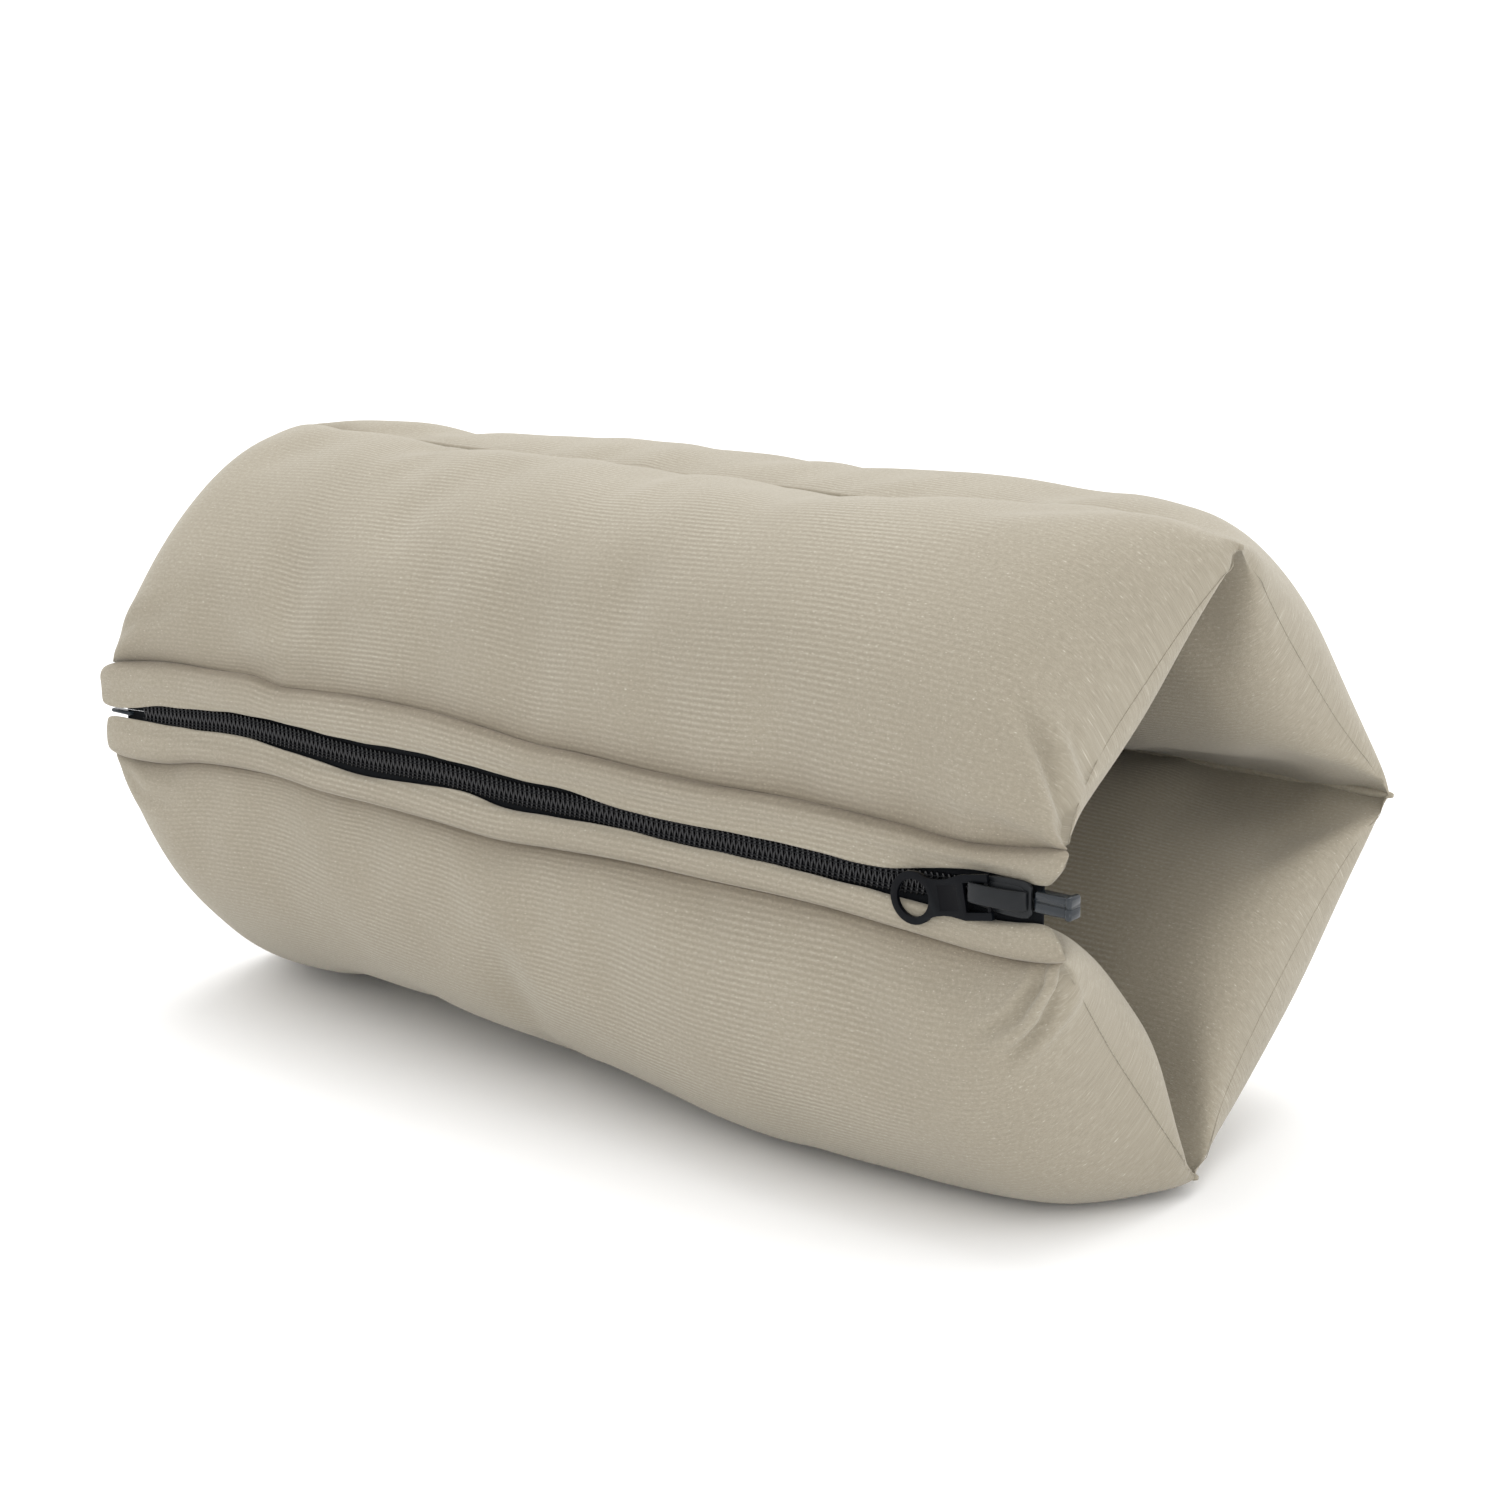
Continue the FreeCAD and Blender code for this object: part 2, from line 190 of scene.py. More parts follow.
# How square the lining's section is towards each channel's start and end seam
LINING_SQUARE = {
    "lower_rear": (2.0, 2.0), "upper_rear": (2.0, 2.0), "upper_front": (2.0, 2.6),
    "lower_front": (3.4, 2.1),
}
# How full each channel's crown is along the roll
FULLNESS = {
    "lower_rear": [(-160, 0.80), (-60, 0.88), (60, 0.90), (120, 0.88), (160, 0.84)],
    "upper_rear": [(-160, 0.72), (-100, 0.76), (-40, 0.87), (20, 0.92), (80, 0.93), (120, 0.88),
                   (160, 0.80)],
    "upper_front": [(-160, 0.66), (-90, 0.62), (-40, 0.68), (20, 0.82), (70, 0.94), (120, 1.0),
                    (160, 1.0)],
    "lower_front": [(-160, 0.60), (-80, 0.60), (-30, 0.68), (20, 0.84), (75, 0.98), (120, 0.96),
                    (160, 0.88)],
}


# ---- mesh helpers ----

def link(obj):
    bpy.context.scene.collection.objects.link(obj)
    return obj


def mesh_object(name, vertices, faces, smooth=True):
    mesh = bpy.data.meshes.new(name)
    mesh.from_pydata([tuple(v) for v in vertices], [], [tuple(f) for f in faces])
    mesh.update()
    if smooth:
        mesh.polygons.foreach_set("use_smooth", [True] * len(mesh.polygons))
    return link(bpy.data.objects.new(name, mesh))


def vectors(mesh, name="co"):
    """A mesh's vertex places, or its normals, as rows."""
    values = np.zeros(len(mesh.vertices) * 3)
    mesh.vertices.foreach_get(name, values)
    return values.reshape(-1, 3)


def coordinates(obj):
    return vectors(obj.data)


def set_coordinates(obj, values):
    obj.data.vertices.foreach_set("co", np.asarray(values, float).ravel())
    obj.data.update()


def push_out(obj, amount):
    """Moves each vertex along its normal."""
    set_coordinates(obj, coordinates(obj) + vectors(obj.data, "normal") * amount[:, None])


def attribute(obj, name, kind="FLOAT"):
    """A new vertex attribute, or the one of that name that the mesh has."""
    found = obj.data.attributes
    return found.get(name) or found.new(name, kind, "POINT")


def weave_attribute(obj, along, across):
    """Stores the cloth's own coordinates, in metres, for the cloth materials."""
    values = np.column_stack([along, across, np.zeros(len(along))]).astype(np.float32)
    attribute(obj, "weave", "FLOAT_VECTOR").data.foreach_set("vector", values.ravel())


def painted_shade_attribute(obj, values):
    """Stores the painted shade beside the sewn seams, 0 to 1, that darkens the knit's colour."""
    attribute(obj, "painted_seam_shade").data.foreach_set("value", np.asarray(values, np.float32))


def apply_modifiers(obj):
    """Bakes the modifier stack into the mesh."""
    depsgraph = bpy.context.evaluated_depsgraph_get()
    mesh = bpy.data.meshes.new_from_object(obj.evaluated_get(depsgraph), depsgraph=depsgraph)
    obj.modifiers.clear()
    old = obj.data
    obj.data = mesh
    bpy.data.meshes.remove(old)
    return obj


def subdivide(obj, levels=1):
    modifier = obj.modifiers.new("subdivision", "SUBSURF")
    modifier.levels = modifier.render_levels = levels
    return apply_modifiers(obj)


def smooth_noise(points, scale, seed):
    """Repeatable smooth noise in about -1..1 from a few crossed sine waves."""
    rng = np.random.default_rng(seed)
    total = np.zeros(len(points))
    for _ in range(7):
        direction = rng.normal(size=3)
        direction *= rng.uniform(0.6, 1.5) / (np.linalg.norm(direction) * scale)
        total += np.sin(points @ direction * 2 * math.pi + rng.uniform(0, 2 * math.pi))
    return total / 4.0


def noise_along(x, scale, seed):
    """Smooth noise that changes only along the roll."""
    return smooth_noise(np.column_stack([x, x * 0, x * 0]), scale, seed)


def sweep_faces(steps, around, flip=False):
    """Faces of a closed section of points swept over some steps, with both ends capped."""
    faces = [tuple(range(around)), tuple(reversed(range((steps - 1) * around, steps * around)))]
    for i in range(steps - 1):
        for j in range(around):
            k = (j + 1) % around
            a, b = i * around, (i + 1) * around
            faces.append((a + j, b + j, b + k, a + k))
    return [face[::-1] for face in faces] if flip else faces


def swept_strip(name, rows, flip, smooth=True):
    """A closed strip whose rows of points run along the roll, one after another around it."""
    stack = np.stack(rows, axis=1).reshape(-1, 3)
    return mesh_object(name, stack, sweep_faces(len(rows[0]), len(rows), flip), smooth)


def tube(name, path, radius, sides=8):
    """A round tube along a path of points; radius is one number, or one for each point."""
    path = np.asarray(path, float)
    count = len(path)
    radius = np.broadcast_to(radius, count)[:, None, None]
    tangents = np.gradient(path, axis=0)
    tangents /= np.linalg.norm(tangents, axis=1)[:, None]
    guide = np.tile([0.0, 1.0, 0.0], (count, 1))
    steep = np.abs(tangents[:, 1]) > 0.95
    guide[steep] = [0.0, 0.0, 1.0]
    first = np.cross(tangents, guide)
    first /= np.linalg.norm(first, axis=1)[:, None]
    second = np.cross(tangents, first)
    for i in range(1, count):
        if np.dot(first[i], first[i - 1]) < 0:
            first[i] *= -1
            second[i] *= -1
    turn = np.arange(sides) * 2 * math.pi / sides
    rings = path[:, None, :] + radius * (
        first[:, None, :] * np.cos(turn)[None, :, None]
        + second[:, None, :] * np.sin(turn)[None, :, None])
    return mesh_object(name, rings.reshape(-1, 3), sweep_faces(count, sides))


def dress(obj, body, material, slot, *nodes):
    """Gives a piece its material, the body it rides on and the nodes it stands for."""
    obj.data.materials.clear()
    obj.data.materials.append(material)
    if nodes:
        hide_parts(*nodes)
    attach(obj, body)
    return obj


def join(objects, name):
    """Joins objects into the first one and renames it."""
    bpy.ops.object.select_all(action="DESELECT")
    for obj in objects:
        obj.select_set(True)
    bpy.context.view_layer.objects.active = objects[0]
    bpy.ops.object.join()
    objects[0].name = name
    return objects[0]


# ---- stuffed channels ----

CREASE_LIP = 0.45             # raised lips beside a pleat, as a share of its depth
# Gathers beside the zip and its ends: route as (x, distance from the zip's seam), depth, half width
UPPER_CREASES = [
    ([(142, 34), (149, 27), (155, 17), (156, 8)], 2.6, 2.0),
    ([(151, 36), (154, 28), (157, 21)], 1.6, 1.6),
    ([(112, 5), (135, 7), (152, 4)], 0.8, 2.6),
    ([(-157, 12), (-148, 17), (-134, 19)], 0.9, 2.6),
    ([(-104, 5), (-88, 9), (-66, 6)], 1.2, 3.4),
]
LOWER_CREASES = [
    ([(157, 3), (156.5, 12), (152, 21), (143, 27)], 2.4, 1.7),
    ([(152, 2), (151.5, 9), (147, 16), (137, 20)], 1.8, 1.6),
    ([(-156, 8), (-148, 14), (-134, 15)], 0.9, 2.6),
    ([(50, 6), (92, 10), (132, 7)], 0.8, 4.0),
]


class Channel:
    """One stuffed panel between two lines of the section, closed at both ends."""

    def __init__(self, body, start, end, start_wave=None, end_wave=None, seed=0):
        self.body = body
        self.start = np.array(start)
        self.end = np.array(end)
        self.start_wave = start_wave
        self.end_wave = end_wave
        self.half = np.linalg.norm(self.end - self.start) / 2
        self.seed = seed

    def lines(self, x):
        """The two seam lines' (y, z) at each x."""
        found = []
        for corner, wave in ((self.start, self.start_wave), (self.end, self.end_wave)):
            line = np.tile(corner, (len(x), 1))
            if wave:
                line += np.column_stack([np.full(len(x), SEAM_DEPTH), smooth_curve(x, wave) * MM])
            found.append(line)
        return found

    def place(self, u, angle, side):
        """u is -1..1 along the roll, angle -90..90 degrees across; side 1 is outside."""
        s = np.sin(angle)
        ear = np.abs(s) ** EAR_POWER
        left, right = ENDS[self.body]
        outer, inner, pull = (np.where(u < 0, a, b) * MM for a, b in zip(left, right))
        zip_side = ZIP_SIDE.get(self.body, 0)
        spare = np.where(u < 0, LEFT_SPARE + ZIP_SPARE * np.clip(s * zip_side, 0, 1), RIGHT_SPARE)
        end_x = HALF_LENGTH + spare - pull * (1 - ear)
        main = 1 - END_CELLS_SHARE
        part = np.clip((np.abs(u) - main) / END_CELLS_SHARE, 0, 1)
        inner_x = end_x - END_SPAN
        x = np.where(
            part > 0, inner_x + END_SPAN * np.sin(part * math.pi / 2), np.abs(u) / main * inner_x)
        to_end = end_x - x
        x = x * np.sign(u)
        soft = np.where(s * zip_side > 0, np.where(u < 0, *ZIP_CORNER_SHARE), 1.0)
        reach = (outer if side > 0 else inner) + CORNER_CLOSE * soft * ear
        gone = 1 - np.clip(to_end / reach, 0, 1)
        closing = np.clip(1 - gone ** CLOSE_POWER, 0, 1) ** (1 / CLOSE_POWER)
        full = smooth_curve(x, FULLNESS[self.body])
        if side > 0:
            rise = CROWN_RISE * np.cos(angle) * closing * full
        else:
            square = np.where(s < 0, *LINING_SQUARE[self.body])
            rise = -self.half * LINING_RATIO[self.body] * (1 - np.abs(s) ** square) * closing
        start, end = self.lines(x)
        chord = end - start
        length = np.linalg.norm(chord, axis=1)[:, None]
        out = np.column_stack([chord[:, 1], -chord[:, 0]]) / length
        across = (start + end) / 2 + chord * (s / 2)[:, None] + out * rise[:, None]
        if side < 0 and self.body == "lower_front":
            well = np.exp(-((1 + s) / WELL_REACH) ** 2) * (1 - np.exp(-(1 + s) / WELL_START)) * closing
            across += well[:, None] * np.array(WELL_PUSH) * MM
        return np.column_stack([x, across])

    def arc_length(self, angle):
        """Distance over the crown from its middle along the fabric; keeps half its whole length."""
        steps = np.linspace(-math.pi / 2, math.pi / 2, 721)
        rise = MEAN_FULLNESS * CROWN_RISE
        speed = np.hypot(self.half * np.cos(steps), rise * np.sin(steps))
        length = np.concatenate([[0], np.cumsum((speed[1:] + speed[:-1]) / 2 * np.diff(steps))])
        self.reach = length[-1] / 2
        return np.interp(angle, steps, length) - self.reach

    def build(self):
        """A closed grid: outer and inner sheets that share their seam vertices."""
        grid, self.index = [], {}
        for side in (1, -1):
            for i in range(ALONG_CELLS + 1):
                for j in range(ACROSS_CELLS + 1):
                    edge = i in (0, ALONG_CELLS) or j in (0, ACROSS_CELLS)
                    if side < 0 and edge:
                        self.index[side, i, j] = self.index[1, i, j]
                        continue
                    self.index[side, i, j] = len(grid)
                    grid.append((2 * i / ALONG_CELLS - 1, (j / ACROSS_CELLS - 0.5) * math.pi, side))
        u, angle, self.side = np.array(grid).T
        places = np.zeros((len(grid), 3))
        faces = []
        for side in (1, -1):
            pick = self.side == side
            places[pick] = self.place(u[pick], angle[pick], side)
            for i in range(ALONG_CELLS):
                for j in range(ACROSS_CELLS):
                    corners = ((i, j), (i + 1, j), (i + 1, j + 1), (i, j + 1))
                    faces.append([self.index[side, a, b] for a, b in corners][::-side])
        self.obj = mesh_object("channel_" + self.body, places, faces)
        self.arc = self.arc_length(angle)
        self.along = places[:, 0]
        weave_attribute(self.obj, self.along, self.arc)
        attribute(self.obj, "sheet").data.foreach_set("value", self.side)
        pins = self.obj.vertex_groups.new(name="pins")
        sewn = [self.index[1, i, j] for i in range(ALONG_CELLS + 1) for j in (0, ACROSS_CELLS)]
        pins.add(sewn, 1.0, "REPLACE")

    def smooth_over(self, values, passes):
        """Averages per-vertex values over the grid's neighbours, keeping its border."""
        for side in (1, -1):
            rows = np.array([
                [self.index[side, i, j] for j in range(ACROSS_CELLS + 1)]
                for i in range(ALONG_CELLS + 1)])
            field = values[rows]
            for _ in range(passes):
                mean = (field[:-2, 1:-1] + field[2:, 1:-1] + field[1:-1, :-2] + field[1:-1, 2:]) / 4
                field[1:-1, 1:-1] = (field[1:-1, 1:-1] + mean) / 2
            values[rows] = field
        return values

    def seam_distance(self):
        """Arc distance of each vertex from the start seam and from the end seam."""
        return self.arc + self.reach, self.reach - self.arc

    def painted_seam_shade(self):
        """Painted shade for the knit's colour beside the sewn lines, deepest along the placket's seam."""
        from_start, from_end = self.seam_distance()
        zip_side = ZIP_SIDE.get(self.body, 0)
        total = np.zeros(len(self.arc))
        for distance, is_zip in ((from_start, zip_side < 0), (from_end, zip_side > 0)):
            depth, width = ZIP_PAINTED_SHADE if is_zip else FOLD_PAINTED_SHADE
            total += depth * np.exp(-distance / width)
        return total * (self.side > 0)

    def read_back(self):
        """Takes the cloth coordinates from the mesh again, after it has been subdivided."""
        count = len(self.obj.data.vertices)
        weave = np.zeros(count * 3, np.float32)
        attribute(self.obj, "weave").data.foreach_get("vector", weave)
        self.side = np.zeros(count, np.float32)
        attribute(self.obj, "sheet").data.foreach_get("value", self.side)
        self.along, self.arc = weave.reshape(-1, 3)[:, :2].T

    def soften(self):
        """Broad unevenness of the stuffing, and puckers that fade away from the seams."""
        points = coordinates(self.obj)
        near = np.minimum(*self.seam_distance())
        broad = smooth_noise(points, BROAD_WAVE[0], self.seed) * BROAD_WAVE[1]
        lumps = smooth_noise(points * LUMP_STRETCH, LUMP_WAVE[0], self.seed + 50) * LUMP_WAVE[1]
        pucker = noise_along(points[:, 0], PUCKER_WAVE[0], self.seed + 90) * PUCKER_WAVE[1]
        fade = np.exp(-((near - PUCKER_BAND[0]) / PUCKER_BAND[1]) ** 2)
        amount = (broad + lumps) * np.clip(near / SEAM_QUIET, 0, 1) + pucker * fade
        push_out(self.obj, amount)

    def crease(self, route, depth, width, seam):
        """A pleat in the outer face: route is (x, distance from a seam), all in millimetres."""
        from_start, from_end = self.seam_distance()
        here = np.column_stack([self.along, from_start if seam == "start" else from_end])
        nearest = np.full(len(here), 1.0)
        share = np.zeros(len(here))
        knots = np.array(route) * MM
        for k in range(len(knots) - 1):
            a, b = knots[k], knots[k + 1]
            t = np.clip(((here - a) @ (b - a)) / ((b - a) @ (b - a)), 0, 1)
            distance = np.linalg.norm(here - (a + t[:, None] * (b - a)), axis=1)
            closer = distance < nearest
            nearest = np.where(closer, distance, nearest)
            share = np.where(closer, (k + t) / (len(knots) - 1), share)
        taper = np.sin(np.clip(share, 0.02, 0.98) * math.pi) ** 0.5
        valley = -np.exp(-(nearest / (width * MM)) ** 2)
        lip = CREASE_LIP * np.exp(-((nearest - 2.0 * width * MM) / (width * MM)) ** 2)
        amount = (valley + lip) * depth * MM * taper * (self.side > 0.5)
        push_out(self.obj, amount)


def simulate(channels):
    """Inflates the channels as cloth, held along their long seams."""
    rest = {}
    for channel in channels:
        obj = channel.obj
        rest[channel.body] = coordinates(obj)
        cloth = obj.modifiers.new("cloth", "CLOTH")
        for setting, value in CLOTH.items():
            setattr(cloth.settings, setting, value)
        cloth.settings.effector_weights.gravity = 0
        cloth.point_cache.frame_start = 1
        cloth.point_cache.frame_end = SIM_FRAMES
    for number in range(1, SIM_FRAMES + 1):
        bpy.context.scene.frame_set(number)
    depsgraph = bpy.context.evaluated_depsgraph_get()
    for channel in channels:
        obj = channel.obj
        evaluated = obj.evaluated_get(depsgraph).to_mesh()
        moved = vectors(evaluated) - rest[channel.body]
        length = np.linalg.norm(moved, axis=1)
        capped = SIM_CAP * np.tanh(length / SIM_CAP)
        moved *= (capped / np.maximum(length, 1e-9))[:, None]
        obj.modifiers.clear()
        set_coordinates(obj, rest[channel.body] + channel.smooth_over(moved, SIM_SMOOTHING))
    bpy.context.scene.frame_set(1)


def rest_on_floor(obj):
    """Presses what would sink into the surface flat against it."""
    points = coordinates(obj)
    low = points[:, 2] - FLOOR_GAP
    points[:, 2] = FLOOR_GAP + 0.5 * (low + np.sqrt(low * low + FLOOR_SOFTNESS * FLOOR_SOFTNESS))
    set_coordinates(obj, points)


def build_channels(materials):
    """The four stuffed channels, from the lower rear one round to the lower front one."""
    channels = [
        Channel("lower_rear", FOLD_BOTTOM, FOLD_REAR, seed=11),
        Channel("upper_rear", FOLD_REAR, FOLD_TOP, seed=12),
        Channel("upper_front", FOLD_TOP, SEAM_UPPER, end_wave=UPPER_SEAM_WAVE, seed=13),
        Channel("lower_front", SEAM_LOWER, FOLD_BOTTOM, start_wave=LOWER_SEAM_WAVE, seed=14),
    ]
    for channel in channels:
        channel.build()
    simulate(channels)
    for channel in channels:
        channel.soften()
        points = coordinates(channel.obj)
        channel.end_lines = [
            points[[channel.index[1, i, j] for j in range(ACROSS_CELLS + 1)]]
            for i in (0, ALONG_CELLS)]
        subdivide(channel.obj)
        channel.read_back()
    for channel, creases, seam in (
            (channels[2], UPPER_CREASES, "end"), (channels[3], LOWER_CREASES, "start")):
        for route, depth, width in creases:
            channel.crease(route, depth, width, seam)
    for channel in channels:
        obj, body = channel.obj, channel.body
        # painted shade beside the seams, kept for the knit's colour
        painted_shade_attribute(obj, channel.painted_seam_shade())
        if body.startswith("lower"):
            rest_on_floor(obj)
        dress(obj, body, materials["knit"], "knit_cover",
              body + "_cover", body + "_lining", body + "_filling")
    return channels


# ---- seams ----

FOLD_ROLL_RADIUS = 1.15 * MM
FOLD_EAR = 1.0 * MM           # how far each roll stands past the panels
FOLD_EAR_TAPER = 3 * MM
FOLD_WANDER = (0.12 * MM, -0.1 * MM)
END_RIDGE_RADIUS = 0.09 * MM


def build_fold_seams(materials):
    """A slim rolled seam in each fold, with its little ear past the channels' ends."""
    reach = HALF_LENGTH + FOLD_EAR
    x = np.linspace(-reach, reach, 320)
    slim = np.clip((reach - np.abs(x)) / FOLD_EAR_TAPER, 0, 1) ** 0.5
    wave = noise_along(x, 14 * MM, 31)
    for node, body, corner in (
            ("fold_seam_bottom", "lower_rear", FOLD_BOTTOM),
            ("fold_seam_rear", "lower_rear", FOLD_REAR),
            ("fold_seam_top", "upper_rear", FOLD_TOP)):
        path = np.column_stack([x, corner[0] + wave * FOLD_WANDER[0], corner[1] + wave * FOLD_WANDER[1]])
        obj = tube(node + "_roll", path, FOLD_ROLL_RADIUS * (0.5 + 0.5 * slim), sides=10)
        points = coordinates(obj)
        weave_attribute(obj, points[:, 0], points[:, 2])
        dress(obj, body, materials["knit"], "seam_ridge", node)


def build_end_seams(channels, materials):
    """The sewn line that closes each channel's two ends, as a fine rolled ridge."""
    for channel in channels:
        ridges = [tube("ridge", path, END_RIDGE_RADIUS) for path in channel.end_lines]
        obj = join(ridges, "end_seam_" + channel.body)
        points = coordinates(obj)
        weave_attribute(obj, points[:, 1], points[:, 2])
        dress(obj, channel.body, materials["knit"], "seam_ridge", channel.body + "_end_seams")


# ---- plackets ----

SIDES = {"upper": 1, "lower": -1}
PLACKET_LIP = 0.72 * MM       # the folded edge, thin enough to pass under the slider's plate
PLACKET_PUFF = 2.1 * MM       # the strip beyond the slider
PLACKET_PUFF_VARIES = 0.22
PLACKET_ENDS = {"upper": (6.4 * MM, 2.4 * MM), "lower": (4.6 * MM, 2.4 * MM)}   # past the panels
SEAM_TUCK = 0.7 * MM          # the strip's sewn edge lies this far inside its seam line
EDGE_RIPPLE = 0.12 * MM
EDGE_SHORTER = 4.0 * MM       # the free edge stops this far short of the seam's right end
END_ROUNDING = (9 * MM, 6.5 * MM)    # length over which the left and right ends round off
END_BULGE = (2.0 * MM, 18 * MM)      # the left end swells outwards: height and length
SLIDER_ROOM = 4.6 * MM        # the strip stays thin this near to the zip line
SLIDER_ROOM_EASE = 2.4 * MM
# Painted shade along the placket strip's sewn edge: depth and width
PLACKET_PAINTED_SHADE = (0.9, 1.5 * MM)
# Section of the folded strip: share of the way from seam to free edge, share of its height
PLACKET_FRONT = [(0.0, -0.85), (0.03, -0.4), (0.07, 0.12), (0.14, 0.62), (0.25, 0.93), (0.40, 1.04),
                 (0.56, 1.04), (0.70, 1.0), (0.82, 0.96), (0.92, 0.88), (0.975, 0.66), (1.0, 0.25)]
PLACKET_BACK = [(0.985, -0.15), (0.93, -0.42), (0.70, -0.5), (0.40, -0.6), (0.15, -0.8)]


def placket(name, materials):
    """Folded strip beside the zip: sewn at its outer edge, loose and wavy at its inner one."""
    side = SIDES[name]
    seam, seam_wave, edge = {
        "upper": (SEAM_UPPER, UPPER_SEAM_WAVE, UPPER_EDGE),
        "lower": (SEAM_LOWER, LOWER_SEAM_WAVE, LOWER_EDGE),
    }[name]
    left, right = -HALF_LENGTH - PLACKET_ENDS[name][0], HALF_LENGTH + PLACKET_ENDS[name][1]
    x = np.linspace(left, right, 460)
    seam_z = seam[1] + smooth_curve(x, seam_wave) * MM + side * SEAM_TUCK
    edge_z = ZIP_Z + smooth_curve(x, edge) * MM + noise_along(x, 16 * MM, 61 + side) * EDGE_RIPPLE
    middle = (seam_z + edge_z) / 2
    puff = PLACKET_PUFF * (1 + PLACKET_PUFF_VARIES * noise_along(x, 36 * MM, 71 + side))
    bulge = END_BULGE[0] * np.exp(-((x - left) / END_BULGE[1]) ** 2)
    rounded = np.clip(np.minimum((x - left) / END_ROUNDING[0], (right - x) / END_ROUNDING[1]), 0, 1)
    rounded = np.sqrt(1 - (1 - rounded) ** 2)
    rows, weave = [], []
    for front, outline in ((True, PLACKET_FRONT), (False, PLACKET_BACK)):
        for share, height in outline:
            row_x = x - EDGE_SHORTER * share ** 2 * (x - left) / (right - left)
            z = seam_z + (edge_z - seam_z) * share
            z = middle + (z - middle) * (0.62 + 0.38 * rounded)
            lift = height * MM
            if front:
                clear = np.clip((np.abs(z - ZIP_Z) - SLIDER_ROOM) / SLIDER_ROOM_EASE, 0, 1)
                clear = clear * clear * (3 - 2 * clear)
                lift = height * (PLACKET_LIP + (puff - PLACKET_LIP) * clear)
            y = ZIP_Y - lift * (0.2 + 0.8 * rounded) - bulge
            rows.append(np.column_stack([row_x, y, z]))
            weave.append(np.abs(z - seam_z) * (1 if front else -1))
    obj = swept_strip("placket_strip_" + name, rows, flip=side > 0)
    across = np.stack(weave, axis=1).ravel()
    weave_attribute(obj, coordinates(obj)[:, 0], across)
    # painted shade that darkens the strip's colour beside its sewn edge
    painted_shade_attribute(obj, PLACKET_PAINTED_SHADE[0] * np.exp(-np.abs(across) / PLACKET_PAINTED_SHADE[1]))
    subdivide(obj)
    return dress(obj, name + "_front", materials["knit"], "knit_cover",
                 "placket_" + name, "placket_seam_" + name)


# ---- zipper ----

def zip_line(x):
    return ZIP_Z + smooth_curve(x, ZIP_WAVE) * MM


TAPE_SHORTER = (1.0 * MM, 4.6 * MM)   # the tape stops inside the panels' left and right ends
TAPE_ROWS = [0.1, 1.5, 3.0, 4.5, 6.0, 7.5, 8.8]    # millimetres from the zip line


def zip_tape(name, materials):
    """Woven tape, hidden at both ends under the plackets."""
    side = SIDES[name]
    x = np.linspace(-HALF_LENGTH + TAPE_SHORTER[0], HALF_LENGTH - TAPE_SHORTER[1], 200)
    rows = [
        np.column_stack([x, np.full_like(x, y), zip_line(x) + side * share * MM])
        for y, order in ((TAPE_FRONT, TAPE_ROWS), (TAPE_BACK, TAPE_ROWS[::-1]))
        for share in order]
    obj = swept_strip("woven_tape_" + name, rows, flip=side < 0, smooth=False)
    points = coordinates(obj)
    weave_attribute(obj, points[:, 0], points[:, 2] - ZIP_Z)
    return dress(obj, name + "_front", materials["tape"], "zip_tape", "zip_tape_" + name)


COIL_PITCH = 1.6 * MM
COIL_WIRE = 0.31 * MM
COIL_TIP = -0.55 * MM         # the loops cross the zip line by this much
COIL_SPINE = 2.75 * MM
COIL_DEPTH = 0.32 * MM
COIL_SLANT = 0.12 * MM
COIL_ENDS = (3.0 * MM, 0.5 * MM)
COIL_STEPS = 14               # points in each loop
THREAD_ROWS = (1.35 * MM, 2.15 * MM)
THREAD_RADIUS = 0.13 * MM
THREAD_DIP = 0.22 * MM


def zip_coil(name, materials):
    """One half of the coil: a flattened helix whose loops cross the zip line, and its stitching."""
    side = SIDES[name]
    low = COIL_LOW.x + COIL_ENDS[0]
    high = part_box("zip_coil_" + name)[1].x - COIL_ENDS[1]
    loops = int((high - low) / COIL_PITCH)
    t = np.arange(loops * COIL_STEPS) / COIL_STEPS
    x = low + t * COIL_PITCH + (0 if side > 0 else COIL_PITCH / 2)
    turn = t * 2 * math.pi
    wide = np.sign(np.cos(turn)) * np.abs(np.cos(turn)) ** 0.75
    z = zip_line(x) + side * ((COIL_TIP + COIL_SPINE) / 2 + (COIL_SPINE - COIL_TIP) / 2 * wide)
    y = (COIL_LOW.y + COIL_HIGH.y) / 2 - COIL_DEPTH * np.sin(turn)
    x = x + COIL_SLANT * np.sin(turn)
    obj = tube("coil_" + name, np.column_stack([x, y, z]), COIL_WIRE, sides=7)
    x = np.arange(low, low + loops * COIL_PITCH, COIL_PITCH / 6)
    hop = np.abs(np.sin((x - low) / COIL_PITCH * math.pi))
    y = COIL_LOW.y + 0.02 * MM + THREAD_DIP * (1 - hop)
    threads = join([
        tube("stitch", np.column_stack([x, y, zip_line(x) + side * offset]), THREAD_RADIUS, sides=5)
        for offset in THREAD_ROWS], "coil_thread_" + name)
    dress(threads, name + "_front", materials["thread"], "zip_tape")
    return dress(obj, name + "_front", materials["coil"], "zip_coil", "zip_coil_" + name)


def bevelled(obj, width, segments=3):
    """Rounds a piece's sharp edges."""
    modifier = obj.modifiers.new("bevel", "BEVEL")
    modifier.width = width
    modifier.segments = segments
    modifier.limit_method = "ANGLE"
    modifier.angle_limit = math.radians(35)
    apply_modifiers(obj)
    obj.data.polygons.foreach_set("use_smooth", [True] * len(obj.data.polygons))
    return obj


